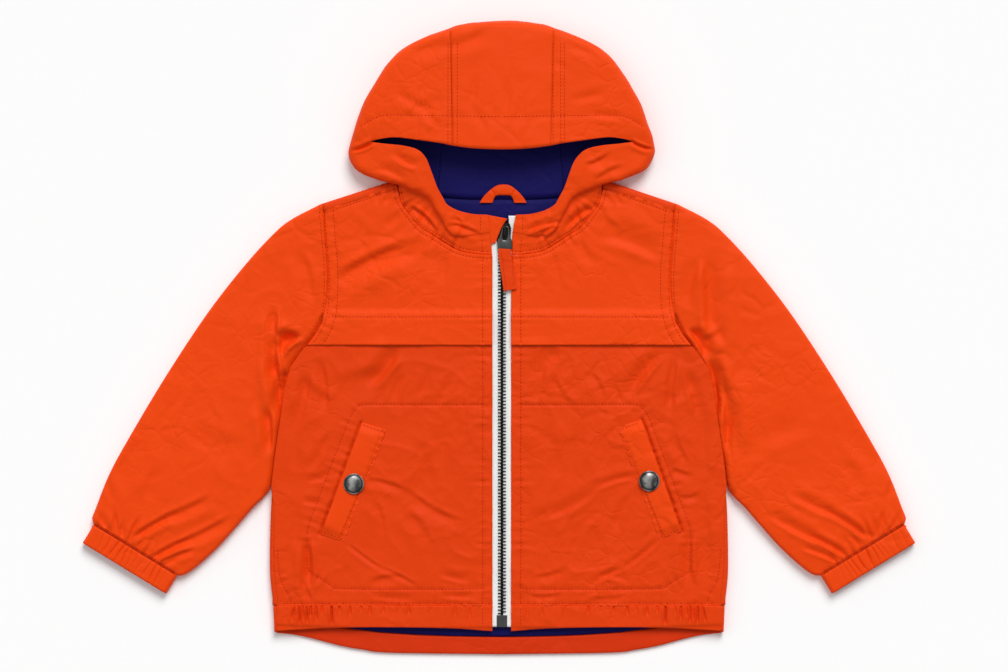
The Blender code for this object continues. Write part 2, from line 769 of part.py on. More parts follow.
def make_snap(label, side, material):
    """A domed metal snap cap with a rolled edge."""
    profile = (
        (0.0, 0.0),
        (0.86, 0.0),
        (1.0, 0.22),
        (1.0, 0.45),
        (0.93, 0.66),
        (0.7, 0.86),
        (0.36, 0.97),
        (0.0, 1.0),
    )
    mesh = bmesh.new()
    base = LAID_HEIGHT + 2 * SEAM_GAP + WELT_WALL
    verts = []
    for radius, height in profile:
        verts.append(mesh.verts.new((radius * SNAP_RADIUS * MM, 0.0, height * SNAP_HEIGHT * MM)))
    for a, b in zip(verts, verts[1:]):
        mesh.edges.new((a, b))
    bmesh.ops.spin(
        mesh,
        geom=mesh.verts[:] + mesh.edges[:],
        axis=(0, 0, 1),
        cent=(0, 0, 0),
        steps=SNAP_SEGMENTS,
        angle=2 * math.pi,
    )
    bmesh.ops.remove_doubles(mesh, verts=mesh.verts, dist=0.01 * MM)
    bmesh.ops.recalc_face_normals(mesh, faces=mesh.faces[:])
    made = new_object("snap_" + label, mesh, material)
    made.data.shade_smooth()
    x, y = SNAP_PLACE
    made.location = (settle(side * x, y) * MM, y * MM, base * MM)
    return made


def prism(name, outline, low, high, material):
    """A plan outline in millimetres between two heights."""
    mesh = bmesh.new()
    ring = [mesh.verts.new((x * MM, y * MM, low * MM)) for x, y in outline]
    face = mesh.faces.new(ring)
    raised = bmesh.ops.extrude_face_region(mesh, geom=[face])
    moved = [item for item in raised["geom"] if isinstance(item, bmesh.types.BMVert)]
    bmesh.ops.translate(mesh, verts=moved, vec=(0.0, 0.0, (high - low) * MM))
    bmesh.ops.recalc_face_normals(mesh, faces=mesh.faces[:])
    return new_object(name, mesh, material)


def box_outline(half, foot, head):
    return [(-half, foot), (half, foot), (half, head), (-half, head)]


def both_sides(half_outline):
    return [(x, y) for x, y in half_outline] + [(-x, y) for x, y in reversed(half_outline)]


def helper(made):
    made.hide_render = True
    made.display_type = "WIRE"
    return made


def join_shapes(target, operation, others):
    for other in others:
        change = target.modifiers.new(other.name, "BOOLEAN")
        change.operation = operation
        change.object = helper(other)
        other.parent = target


def make_tape(label, side, material):
    """A zip tape, sewn under the edge of the front and up into the collar."""
    rows = []
    for low, high in zip(TAPE_EDGES, TAPE_EDGES[1:]):
        for share in steps(4)[:-1]:
            y, inner, outer = (blend(a, b, share) for a, b in zip(low, high))
            rows.append([(side * x, y, TAPE_MID) for x in (inner, (inner + outer) / 2, outer)])
    y, inner, outer = TAPE_EDGES[-1]
    rows.append([(side * x, y, TAPE_MID) for x in (inner, (inner + outer) / 2, outer)])
    return cloth("zip_tape_" + label, [rows], TAPE_WALL, material)


def make_chain(material):
    made = prism("zip_chain", box_outline(CHAIN_HALF, CHAIN_FOOT_Y, CHAIN_TOP_Y), *CHAIN_Z, material)
    made.location.x = DRIFT * MM
    edge = made.modifiers.new("Edge", "BEVEL")
    edge.width = 0.6 * MM
    edge.segments = 2
    return made


def make_stop_box(material):
    """The box at the foot of the zip: it stands between the tapes and caps their edges."""
    made = prism("zip_stop_box", box_outline(3.0, *STOP_Y), 3.6, 6.2, material)
    cap = prism("stop_cap", box_outline(3.9, STOP_Y[0] + 0.2, STOP_Y[1] - 0.2), 5.9, 7.0, material)
    join_shapes(made, "UNION", [cap])
    made.location.x = DRIFT * MM
    return made


def make_garage(material):
    """A tab of shell cloth folded over the top of the zip's left side."""
    outline = (
        (-10.1, 91.1),
        (4.2, 88.6),
        (3.5, 85.6),
        (-0.2, 84.8),
        (-1.3, 79.6),
        (-3.9, 73.0),
        (-4.8, 70.6),
        (-7.1, 69.8),
        (-7.5, 78.0),
    )
    settled = [(settle(x, y), y) for x, y in outline]
    return prism("zip_garage", settled, LAID_HEIGHT, LAID_HEIGHT + 0.8, material)


def make_slider(material):
    """The slider: two plates round the chain, a post between them and the bridge that holds the link."""
    hinge_z = PULL_HINGE[2]
    plate = ((3.0, 2.7), (4.4, -1.0), (4.4, -7.5), (3.6, -10.4))
    made = prism("zip_slider", both_sides(plate), 6.7 - hinge_z, 7.7 - hinge_z, material)
    bottom = prism("slider_bottom", both_sides(plate), 2.6 - hinge_z, 3.5 - hinge_z, material)
    post = prism("slider_post", box_outline(1.2, -4.5, 1.4), 3.3 - hinge_z, 6.9 - hinge_z, material)
    flanges = []
    for side in (-1, 1):
        strip = [(side * 3.5, -1.4), (side * 4.4, -1.4), (side * 4.4, -7.2), (side * 3.5, -7.2)]
        flanges.append(prism(f"slider_flange_{side}", strip, 5.8 - hinge_z, 6.9 - hinge_z, material))
    bridge = prism("slider_bridge", box_outline(0.9, -6.4, 2.4), 7.5 - hinge_z, 10.8 - hinge_z, material)
    under_bridge = prism("bridge_gap", box_outline(2.0, -4.9, 1.1), 7.7 - hinge_z, 9.9 - hinge_z, material)
    join_shapes(bridge, "DIFFERENCE", [under_bridge])
    join_shapes(made, "UNION", [bottom, post, *flanges, bridge])
    place_at_hinge(made)
    return made


def place_at_hinge(made):
    made.location = [value * MM for value in PULL_HINGE]
    made.rotation_euler.z = PULL_TURN


def make_pull(metal, shell):
    """The link that swings on the slider's bridge, and the strip of cloth looped round its foot."""
    hinge = bpy.data.objects.new("pull_hinge", None)
    bpy.context.scene.collection.objects.link(hinge)
    place_at_hinge(hinge)
    half = LINK_WALL / 2
    link = prism("zip_pull_link", both_sides(LINK_OUTLINE), -half, half, metal)
    eye = prism("link_eye", both_sides(LINK_EYE), -1.0, 1.0, metal)
    slot = prism("link_slot", both_sides(LINK_SLOT), -1.0, 1.0, metal)
    join_shapes(link, "DIFFERENCE", [eye, slot])
    link.parent = hinge
    strip = make_pull_strip(shell)
    strip.parent = hinge


def make_pull_strip(material):
    path = (  # centre x, y, height of the centre, half thickness, turn in degrees
        (0.0, -15.3, 0.0, 1.5, 0.0),
        (0.0, -19.0, 0.0, 1.5, 2.0),
        (0.4, -22.5, 0.25, 0.9, 8.0),
        (1.2, -26.0, 0.35, 0.8, 12.0),
        (3.6, -36.5, 0.35, 0.8, 12.5),
        (6.0, -47.5, 0.35, 0.8, 12.5),
    )
    mesh = bmesh.new()
    rings = []
    for x, y, z, half, turn in path:
        angle = math.radians(turn)
        across = Vector((math.cos(angle), math.sin(angle), 0.0)) * PULL_STRIP_HALF
        centre = Vector((x, y, z))
        thick = Vector((0.0, 0.0, half))
        corners = (centre - across - thick, centre + across - thick, centre + across + thick, centre - across + thick)
        rings.append([mesh.verts.new(corner * MM) for corner in corners])
    for near, far in zip(rings, rings[1:]):
        for i in range(4):
            mesh.faces.new((near[i], near[(i + 1) % 4], far[(i + 1) % 4], far[i]))
    mesh.faces.new(rings[0])
    mesh.faces.new(rings[-1])
    bmesh.ops.recalc_face_normals(mesh, faces=mesh.faces[:])
    strip = new_object("zip_pull_strip", mesh, material)
    bar_hole = prism("bar_hole", box_outline(8.0, -18.35, -16.55), -0.9, 0.9, material)
    join_shapes(strip, "DIFFERENCE", [bar_hole])
    return strip


def main():
    clear_scene()
    shell = make_material("orange shell", (0.80, 0.065, 0.011), 0.62)
    lining = make_material("blue lining", (0.012, 0.010, 0.085), 0.7)
    tape = make_material("white zip tape", (0.82, 0.78, 0.72), 0.8)
    metal = make_material("dark metal", (0.16, 0.16, 0.17), 0.32, 1.0)

    make_back(shell)
    make_hem_back(shell)
    make_hem_lining(lining)
    for label, side in (("left", -1), ("right", 1)):
        make_front(label, side, shell)
        make_yoke(label, side, shell)
        make_hem_front(label, side, shell)
        make_sleeve(label, side, shell)
        make_cuff(label, side, shell)
        make_welt(label, side, shell)
        make_snap(label, side, metal)
        make_tape(label, side, tape)

    other_seam = len(HOOD_ROUND) - 1 - HOOD_SEAM
    last = len(HOOD_ROUND) - 1
    gap = HOOD_SEAM_SHARE
    make_hood("left", 0.0, HOOD_SEAM - gap, shell)
    make_hood("center", HOOD_SEAM + gap, other_seam - gap, shell)
    make_hood("right", other_seam + gap, last, shell)
    make_hood_lining("left", HOOD_LINED_FROM, HOOD_SEAM - gap, lining)
    make_hood_lining("center", HOOD_SEAM + gap, other_seam - gap, lining)
    make_hood_lining("right", other_seam + gap, last - HOOD_LINED_FROM, lining)
    make_neck_lining(lining)
    make_hanger_loop(shell)

    make_chain(metal)
    make_stop_box(metal)
    make_garage(shell)
    make_slider(metal)
    make_pull(metal, shell)


main()
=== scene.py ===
"""A child's hooded rain jacket laid flat on its back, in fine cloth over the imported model.

Sizes in the tables are in millimetres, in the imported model's frame. The outline tables
give one half, from the zip outwards, and settle() gives the middle its drift.
"""

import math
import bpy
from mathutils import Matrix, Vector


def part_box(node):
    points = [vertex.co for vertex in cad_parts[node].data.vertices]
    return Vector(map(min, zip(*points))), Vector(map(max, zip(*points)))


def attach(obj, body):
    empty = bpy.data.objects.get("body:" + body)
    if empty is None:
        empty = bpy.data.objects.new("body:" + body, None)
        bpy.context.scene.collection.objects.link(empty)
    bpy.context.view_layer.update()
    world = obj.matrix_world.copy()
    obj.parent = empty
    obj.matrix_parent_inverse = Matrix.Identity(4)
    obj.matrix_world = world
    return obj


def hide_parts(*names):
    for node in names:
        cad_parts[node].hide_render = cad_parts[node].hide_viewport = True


bl_info = {
    "name": "Laid-out rain jacket",
    "version": (1, 0, 0),
    "blender": (4, 5, 0),
    "location": "3D Viewport > Sidebar > Jacket",
    "description": "Makes a hooded rain jacket's cloth, sewing, zip and stage over its packed model",
    "category": "Add Mesh",
}

from collections import namedtuple

import bmesh
import bpy
import numpy as np
from mathutils import Vector, noise
from mathutils.bvhtree import BVHTree

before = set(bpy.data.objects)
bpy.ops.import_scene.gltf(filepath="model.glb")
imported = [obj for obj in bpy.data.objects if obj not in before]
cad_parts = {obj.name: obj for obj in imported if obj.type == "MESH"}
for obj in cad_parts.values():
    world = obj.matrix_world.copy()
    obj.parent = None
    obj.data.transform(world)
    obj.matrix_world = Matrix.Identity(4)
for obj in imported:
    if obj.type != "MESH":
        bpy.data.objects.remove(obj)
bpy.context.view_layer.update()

MM = 0.001
SIDES = (("left", -1), ("right", 1))

# Heights of the laid-out cloth: its top, and its under layer off the floor
LAID_HEIGHT = 8.0
UNDERSIDE = 0.12
SHELL_WALL = 0.9
SEAM_GAP = 0.3
# How far right of the middle the zip lies, and how far out that fades
DRIFT = 2.2
DRIFT_FADE = 130.0

HEM_SEAM_Y = -200.6
FRONT_TOP_Y = 8.0
YOKE_FLAP_Y = -5.8
YOKE_STITCH_Y = 15.2
PLACKET_X = 7.0
PLACKET_STITCH_X = 14.2
NECK_POINT = (78.9, 118.7)
SHOULDER_TIP = (132.8, 99.9)
# How far the shoulder turns over, how far a fold stands out, where the hem ends at the side,
# and how deep a sleeve's creases may go
FOLD_TURN = 6.0
ROLL = 3.0
HEM_SIDE_X = 168.2
SLEEVE_DEEPEST = -5.2

SIDE = (
    (168.9, -200.6), (171.4, -178), (171.4, -150), (170.2, -120), (166.7, -88.3), (162.4, -58.3),
    (159.4, -38), (155.6, -23.1),
)
UNDERARM = ((155.6, -23.1), (147.2, -11.2), (137, 1.5), (132, 11))
# By height: how wide the body and the sleeve roll over at their folds, and how far
# inside the body's fold its side seam lies
FOLD_ROLL = ((-200.0, 2.6), (-110.0, 2.2), (-60.0, 1.7), (-23.0, 1.0), (0.0, 0.8))
SEAM_INSET = ((-200.0, 5.0), (-150.0, 4.2), (-110.0, 3.2), (-60.0, 2.6), (-23.0, 1.6), (8.0, 1.0))
ARMHOLE = ((153.7, -23.1), (146.5, -11), (136.5, 1.7), (130, 18), (128.6, 46.7), (130.5, 73), (132.4, 96))
BACK_NECK = ((0, 102.6), (23.3, 102.8), (48, 104.2), (60, 107.4), (70, 111.6), (77.6, 114.9))
FRONT_NECK = (
    (7, 61.3), (21.8, 62.5), (32, 64.8), (41.5, 70), (50.7, 76), (60.7, 82.4), (69.3, 92.9),
    (74.6, 100.6), (76.4, 107.5), (76.9, 112.7),
)
BACK_HEM = (
    (0, -236.4), (80, -235.3), (101, -233), (117.4, -230), (137, -224.8), (151, -221.8),
    (164.3, -220.4),
)
HEM_FACING_TOP = (
    (0, -224.8), (40, -224.2), (61, -223.4), (90, -221.4), (110, -219), (130, -215.5), (150, -210),
)
FRONT_HEM = ((7, -219.8), (40, -217.6), (90, -216.8), (130, -217.6), (162.4, -219.8))
SLEEVE_OUTER = (
    (133.5, 99.7), (156, 87.9), (170.3, 75.9), (192, 51.9), (219.8, 15.9), (251.3, -32.1),
    (279.8, -80.1), (292.5, -104.1), (301.9, -128.1), (304.6, -135), (303.4, -140.2),
)
SLEEVE_INNER = (
    (130.8, 14.6), (137.35, 1.85), (147.5, -10.95), (155.95, -22.9), (159.75, -38), (162.75, -58.3),
    (167.1, -88.3), (170.8, -111), (176, -119.6), (184.5, -128.1), (205.5, -152.1), (217.5, -164.1),
    (228, -173.2), (235.6, -178), (240.8, -178.4),
)
SLEEVE_ARMHOLE = ((131.9, 84), (131, 73), (129.1, 46.7), (129.6, 31))
WELT_CORNERS = ((86.6, -68.6), (104.8, -62.7), (135.2, -146.9), (118.2, -152.6))
# The real pockets lie a little to the right of their places, and the right one higher
POCKET_SHIFT = {-1: (1.9, -0.7), 1: (1.3, 1.4)}
CUFF_LENGTH = 15.8
# The camera's height and the width of the floor in its picture, in metres
CAMERA_HEIGHT = 2.4
PICTURE_WIDTH = 1008 * 0.00075
SNAP_PLACE = (110.7, -108.8)

# The hood: for each row round its opening, the opening's edge, the height of the upper
# layer where it turns, the rim, where the rim meets the under layer, and the neck seam;
# all but the height are x, y and z
HOOD = (
    (10.6, 91.6, 8.8, 8.7, 8, 78, 8.2, 7.8, 74, 7.6, 7.4, 61.9, 6.9),
    (20, 91.9, 9.8, 10, 22.6, 75.6, 9.2, 22.6, 72.6, 8.2, 21.6, 63.2, 6.9),
    (27.3, 93.2, 11, 11.4, 34.2, 75.8, 10.2, 35, 72.8, 8.4, 31.6, 65.6, 6.9),
    (34.1, 95.4, 12.2, 12.6, 40, 79.7, 11, 42, 77.4, 8.7, 41, 71, 6.9),
    (40.3, 99.2, 13.6, 13.8, 44.3, 87.4, 11.6, 47.2, 85.4, 8.8, 50.2, 77, 6.9),
    (43.4, 104.4, 14.8, 14.8, 49.5, 96.2, 12, 53.8, 93.6, 8.8, 60, 83.4, 6.9),
    (47.4, 111.9, 15.8, 15.6, 54.7, 104.1, 12.4, 60.7, 101, 9, 68.5, 93.8, 6.9),
    (51.2, 122.4, 16.8, 16.2, 66, 109.7, 13, 69.5, 107.6, 9.6, 73.6, 101.2, 7.1),
    (55.6, 132.9, 17.6, 16.6, 78.2, 114.2, 13.2, 74.8, 113.8, 10.4, 75.3, 108.6, 7.3),
    (62.6, 139.7, 18, 16.4, 92.6, 117.9, 12.8, 76.6, 121.6, 9.8, 75.2, 114.6, 6.4),
    (73.9, 142.7, 18, 15.6, 106.4, 123.9, 10.4, 87, 128.6, 4, 75, 118.4, 4),
    (87.4, 144.2, 17, 14.6, 111.8, 129.9, 8.8, 95, 132.2, 1, 73.9, 117.6, 1.7),
    (98.6, 146, 16, 14.4, 114.7, 137.4, 8.2, 101.5, 138.6, 1, 72, 116.4, 1),
    (92, 147.6, 17.4, 15.6, 113.4, 146.5, 8.6, 101.5, 147, 1, 69, 114, 1),
    (79.1, 148.8, 19.4, 17.6, 109.5, 158.5, 9.4, 97.5, 157, 1, 65.2, 111.4, 1),
    (62.6, 146.7, 21.6, 18.8, 100.2, 182, 10, 89, 178.5, 1, 60, 108.9, 1),
    (45.4, 144.2, 23, 19.4, 76, 214, 10.4, 68.5, 205.5, 1, 54, 106.9, 1),
    (36.4, 142.4, 23.8, 19.8, 39, 231.2, 10.4, 37.2, 220.8, 1, 48, 105.4, 1),
    (20, 140.2, 24.6, 20, 19.5, 235.4, 10.4, 18.8, 224.6, 1, 24, 103.9, 1),
    (0.0, 139.5, 25, 20, 0.0, 236.4, 10.4, 0.0, 225.4, 1, 0.0, 103.6, 1),
)
HOOD_WALL = 1.6
HOOD_SEAM = 17
HOOD_LINED_FROM = 12.6
RIM_ROUND = 5.5

# Soft creases in the laid-out cloth. bow bends a crease's middle sideways; it is steeper
# on its left where width is positive, on its right where it is negative.
Fold = namedtuple("Fold", "start end bow width depth")


def folds(*rows):
    """Creases, from rows of start x and y, end x and y, bow, width and depth."""
    return [Fold(row[:2], row[2:4], *row[4:]) for row in rows]


BODY_FOLDS = folds(
    (-122, 42, -56.5, 71, 3, 6, 2.7), (-80, 56, -33, 56, 2, 8, 0.7), (-115, 91, -95, 73, 0, 6, 0.6),
    (-89, 110, -92, 100, 1, 2.4, 0.9), (-80, 109, -85, 99, 0, 2.4, 1), (-74, 92, -86, 82, 1, 3.6, 0.8),
    (-55, 73, -70, 56, 1, 4.5, 0.8), (-40, 61, -44, 38, 1, 3.8, 0.6), (122, 60, 70, 78, -3, 6.5, 1.6),
    (88, 108, 92, 98, -1, 2.4, 0.9), (79, 108, 86, 98, 0, 2.4, 1), (76, 92, 90, 80, -1, 3.6, 0.8),
    (58, 74, 72, 54, -1, 4.5, 0.9), (42, 62, 47, 36, -1, 3.8, 0.6), (-76, -9, -100, -37, 2, 5, 2.4),
    (-134, -16, -130, -60, 2, 3, 1.2), (-142, -26, -149, -62, 0, 3.6, 1.2),
    (-150, -30, -122, -52, -2, 6, 1), (-130, -40, -70, -30, 3, 9, 0.8),
    (-64, -74, -52, -118, 3, 7, 0.9), (-36, -60, -44, -104, -2, 6, 0.7),
    (-114, -153.5, -84, -175, -1, 1.4, 0.9), (-88, -172.5, -60, -187, 1, 1.6, 0.8),
    (-100, -107, -66, -117, 2, 2.6, 1.1), (-70, -114, -22, -140, -4, 3.6, 1),
    (-94, -122, -86, -150, 2, 3, 0.8), (-70, -128, -50, -160, 2, 4, 0.7),
    (-84, -36, -92, -52, 1, 2.6, 0.7), (-70, -28, -78, -50, -2, 3, 0.9),
    (-52, -24, -62, -48, 2, 3, 0.8), (-36, -30, -48, -52, 2, 3, 0.8),
    (-144.5, -150, -142.5, -190, 1.5, 3.6, 2.6), (-147, -180, -139, -199, -1, 2.2, 1.1),
    (-126, -102, -144, -108, 1, 2.4, 0.9), (-132, -124, -148, -122, 1, 2.4, 0.9),
    (-128, -72, -142, -100, 2, 3, 0.9), (-22, -182, -46, -176, 1, 2.6, 0.8),
    (-18, -194, -44, -192.5, 1, 2.2, 0.8), (-62, -196, -98, -193, 1, 2.4, 0.7),
    (-96, -184, -70, -180, 2, 3, 0.9), (-152, -120, -158, -182, 2, 6, 1),
    (-148, -46, -152, -104, -2, 6, 0.8), (120.5, -11, 95, -45, -1, 4.2, 2),
    (133, -15, 129.5, -58, -2, 3, 1.2), (141, -25, 150, -62, 0, -3.6, 1.4),
    (46, -9, 26, -34, -2, 6, 1.2), (148, -30, 120, -50, 2, 6, 1), (64, -70, 50, -116, -3, 7, 0.9),
    (34, -62, 44, -110, 2, 6, 0.7), (120, -151, 92, -174, 1, 2, 0.9),
    (94, -172, 66, -187, -1, 2.2, 0.8), (102, -104, 70, -114, -2, 2.6, 1),
    (74, -112, 26, -136, 4, 3.6, 0.9), (98, -118, 88, -148, -2, 3, 0.8),
    (72, -130, 54, -162, -2, 4, 0.7), (86, -34, 94, -50, -1, 2.6, 0.7), (68, -26, 78, -48, 2, 3, 0.8),
    (40, -28, 54, -50, -2, 3, 0.8), (143, -146, 144, -186, -2, 3.6, 2),
    (128, -98, 146, -104, -1, 2.4, 0.9), (134, -120, 150, -118, -1, 2.4, 0.9),
    (130, -70, 144, -98, -2, 3, 0.9), (26, -180, 50, -174, -1, 2.6, 0.8),
    (22, -194, 48, -192.5, -1, 2.2, 0.8), (66, -196, 100, -193, -1, 2.4, 0.7),
    (98, -183, 72, -178, -2, 3, 0.9), (154, -116, 158, -180, -2, 6, 1),
    (150, -48, 152, -108, 2, 6, 0.8),
)
SLEEVE_FOLDS = folds(
    (-275, -150.5, -240, -130.5, 1, 2.3, 2.5), (-252, -136, -214, -119, -1, 3.4, 1.9),
    (-277.5, -153.5, -268, -134, 1, 1.7, 1.6), (-260.5, -166, -228, -149.5, 1.5, 2.1, 2.3),
    (-240, -155, -198, -134, -1, 3.4, 1.6), (-254, -169, -224, -158, 1, 2, 1.5),
    (-287.5, -130, -285.2, -148, 0.5, 1.5, 1.7), (-290, -124, -296, -104, -1, 3, 0.9),
    (-149, 2, -164.5, -13, -3, 4.4, 5), (-168, 22, -168.5, -30, 0, 3.4, 2.6),
    (-168.5, -14, -163, -60, 0, 4, 5), (-160, -24, -162, -46, 0, 3, 3.4),
    (-157.5, -26, -163, -62, 0, 4.6, 2.2), (-289.3, -147, -301, -129, 1, 2.2, 1),
    (-281.5, -150, -281, -138, 1, 2, 1.2), (-271, -157.5, -262, -149, 1, 1.8, 1.2),
    (-252, -172, -238, -166, 1, 2, 0.9), (-262, -122, -254, -98, 3, 5, 0.8),
    (-288, -110, -258, -70, 3, 8, 0.9), (-150, 64, -141, 22, 3, 5, 1.4),
    (-152, -4, -168, 6, 2, 4, 1.6), (-174, -52, -172.5, -90, 1.5, 3.6, 2.8),
    (-176, -40, -172, -70, 2, 6, 0.8), (-230, -66, -186, -84, -4, 9, 0.9),
    (275, -150, 241, -128.5, -1, 2.3, 2.4), (253, -134, 216, -116, 1, 3.4, 1.7),
    (278, -153, 268.5, -133, -1, 1.7, 1.5), (260.5, -165, 229, -148, -1.5, 2.1, 2.2),
    (241, -153, 200, -131, 1, 3.4, 1.5), (254, -168.5, 225, -157, -1, 2, 1.4),
    (288, -130, 286, -147.5, -0.5, 1.5, 1.6), (290.5, -122, 296, -102, 1, 3, 0.9),
    (143, 6.5, 156, -16, 1.5, -4.2, 5), (156, 62, 157.5, -20, 1, -6, 2.6),
    (157.5, -14, 164.5, -60, 1.5, -4.2, 5), (159, -26, 165, -62, 0, 4.6, 2),
    (290.3, -146, 301, -128, -1, 2.2, 1), (281, -150, 279.5, -136, -1, 2, 1.2),
    (270, -157.5, 260, -148, -1, 1.8, 1.1), (266, -118, 256, -92, -3, 5, 0.8),
    (284, -104, 252, -66, -3, 8, 0.9), (150, 60, 141, 20, -3, 5, 1.3),
    (168, -30, 171.5, -90, 1.5, -5, 3.4), (152, -3, 170, 8, -2, 4, 1.4),
    (173, -60, 172, -90, -2, 4, 1.2), (232, -60, 188, -76, 4, 9, 0.9),
)
HOOD_FOLDS = folds(
    (-66, 211, -36, 219, 1, 4.4, 1.2), (-40, 217, -6, 229, -2, 4.4, 1.3),
    (-79, 186, -44, 167, -2, 2.8, 1.6), (-56, 166, -44, 156, 2, 2.6, 1),
    (-70, 160, -40, 178, 3, 5, 0.7), (-18, 192, -22, 172, 2, 3, 0.9), (6, 190, 4, 162, 2, 3, 0.9),
    (-24, 176, -8, 150, 2, 3, 0.8), (22, 182, 14, 150, -2, 3, 0.8), (72, 206, 50, 216, -2, 3.6, 1.2),
    (40, 206, 54, 196, 1, 2.6, 0.8), (82, 184, 52, 176, 2, 2.8, 1), (92, 164, 66, 168, 2, 3, 0.9),
    (-60, 127, -80, 139, 2, 3, 1.3), (-70, 116, -92, 126, -2, 3, 1), (64, 128, 84, 138, -2, 3, 1.3),
    (72, 116, 94, 127, 2, 3, 1), (-92, 145.6, -111, 138, 1, 1.5, 1.9),
    (98, 147, 115.6, 140, -1, 1.5, 1.9), (-68, 98, -46, 76, 3, 2.4, 1.9),
    (-52, 98, -58, 80, -1, 2.4, 1.4), (-38, 84, -12, 74.5, 2, 2.2, 1.3), (-34, 90, -24, 78, 1, 2, 1),
    (74, 98, 48, 78, -3, 2.4, 1.9), (57, 100, 60, 80, 1, 2.4, 1.4), (47, 86, 18, 77, -2, 2.2, 1.5),
    (42, 84, 28, 71, -1, 2, 1.3),
)
# Gathers in the hem band: how far out, how far down from its seam, how deep, how slanted
Gather = namedtuple("Gather", "out reach depth slant")
HEM_GATHERS = [Gather(*row) for row in (
    (152, 13, 1, -3), (149, 15, 1.2, 0.5), (146.4, 12, 0.9, 0.8), (143.4, 14, 1.1, 0.4),
    (140.2, 9, 0.8, -0.5), (136.6, 12, 1, 0.6), (132, 7, 0.6, 0), (125, 15, 1.5, 0.6),
    (119, 6, 0.6, 0.4), (111, 8, 0.8, 0), (103, 5, 0.5, 0.6), (96, 7, 0.7, -0.4), (86.3, 6, 0.6, 0.4),
    (74, 4, 0.4, 0), (67.5, 7, 0.7, 0.8), (50, 5, 0.4, 0), (32, 8, 0.6, -0.6), (22, 10, 0.5, 0.8),
)]


# ---------------------------------------------------------------- plan geometry


def ease(value):
    held = np.clip(value, 0.0, 1.0)
    return held * held * (3.0 - 2.0 * held)


def read(table, value):
    """The second column of a table at values of its first, which rises."""
    first, second = zip(*table)
    return np.interp(value, first, second)


def settle(x, y):
    """The sideways drift of the zip, the neck and the hood."""
    near_middle = np.clip(1.0 - np.abs(x) / DRIFT_FADE, 0.0, 1.0)
    return x + DRIFT * np.maximum(near_middle, ease((y - 100.0) / 50.0))


def between(a, b, c, d, t):
    """Points of a smooth curve from b to c, at shares t; a and d are the points before and after."""
    return (2 * b + (c - a) * t + (2 * a - 5 * b + 4 * c - d) * t**2 + (3 * b - a - 3 * c + d) * t**3) / 2


def curve(points, parts=8):
    """A smooth line through points, as an array of points."""
    points = np.asarray(points, float)
    held = np.vstack([2 * points[0] - points[1], points, 2 * points[-1] - points[-2]])
    t = (np.arange(parts) / parts)[:, None]
    found = [between(*four, t) for four in zip(held, held[1:], held[2:], held[3:])]
    return np.vstack([*found, points[-1:]])


def joined(*lines):
    return np.vstack([np.asarray(line, float) for line in lines])


def lengths(line):
    """The length of a line up to each of its points."""
    line = np.asarray(line, float)
    return np.concatenate([[0.0], np.cumsum(np.linalg.norm(np.diff(line, axis=0), axis=1))])


def along(line, shares):
    """Points of a line at shares of its length."""
    line = np.asarray(line, float)
    run = lengths(line)
    places = np.asarray(shares) * run[-1]
    return np.column_stack([np.interp(places, run, line[:, k]) for k in range(line.shape[1])])


def spaced(length, cell, fine_at=(), fine_reach=2.4, fine_cell=0.6):
    """Shares of a length, a cell apart and closer about the places in fine_at."""
    places = list(np.linspace(0.0, length, max(int(round(length / cell)), 1) + 1))
    for place in fine_at:
        places = [p for p in places if abs(p - place) > fine_reach or p in (0.0, length)]
        added = np.arange(place - fine_reach, place + fine_reach + 0.01, fine_cell)
        places += [p for p in added if 0.3 < p < length - 0.3]
    return np.array(sorted(set(np.round(places, 3)))) / length


class Patch:
    """A panel's plan between four edges: foot and head run outwards, inner and outer upwards."""

    def __init__(self, foot, head, inner, outer):
        self.foot, self.head, self.inner, self.outer = foot, head, inner, outer

    def points(self, across, up):
        foot, head = along(self.foot, across)[None], along(self.head, across)[None]
        inner, outer = along(self.inner, up)[:, None], along(self.outer, up)[:, None]
        u, v = np.asarray(across)[None, :, None], np.asarray(up)[:, None, None]
        ruled = foot * (1 - v) + head * v + inner * (1 - u) + outer * u
        low = np.asarray(self.foot[0]) * (1 - u) + np.asarray(self.foot[-1]) * u
        high = np.asarray(self.head[0]) * (1 - u) + np.asarray(self.head[-1]) * u
        return ruled - (low * (1 - v) + high * v)


def inset_line(line, distance):
    """A line moved to its left by a distance."""
    line = np.asarray(line, float)
    steps = np.diff(line, axis=0)
    steps /= np.linalg.norm(steps, axis=1)[:, None]
    before, after = np.vstack([steps[:1], steps]), np.vstack([steps, steps[-1:]])
    tangent = before + after
    tangent /= np.linalg.norm(tangent, axis=1)[:, None]
    stretch = distance / np.maximum((tangent * before).sum(axis=1), 0.5)
    return line + np.column_stack([-tangent[:, 1], tangent[:, 0]]) * stretch[:, None]


def shoulder_line(inset):
    neck, tip = np.array(NECK_POINT), np.array(SHOULDER_TIP)
    across = (tip - neck) / np.linalg.norm(tip - neck)
    out = np.array([-across[1], across[0]])
    return neck - out * inset, tip - out * inset, out


# ---------------------------------------------------------------- relief


def fold_relief(x, y, folds, scale=1.0):
    """The height that soft creases add at places in plan."""
    total = np.zeros(np.shape(x))
    for fold in folds:
        start, end = np.array(fold.start), np.array(fold.end)
        along_fold = end - start
        length = np.hypot(*along_fold)
        share = ((x - start[0]) * along_fold[0] + (y - start[1]) * along_fold[1]) / length**2
        aside = ((y - start[1]) * along_fold[0] - (x - start[0]) * along_fold[1]) / length
        aside = aside - fold.bow * 4 * share * (1 - share)
        width = abs(fold.width)
        steep = np.sign(fold.width)
        u = aside / width * np.where(aside * steep > 0, 1.7, 0.8)
        reach = ease(share / 0.3 + 0.15) * ease((1 - share) / 0.4 + 0.1)
        trough = np.exp(-u * u) - 0.5 * np.exp(-(((np.abs(u) - 1.9) / 0.9) ** 2))
        total = total - fold.depth * scale * reach * trough
    return total


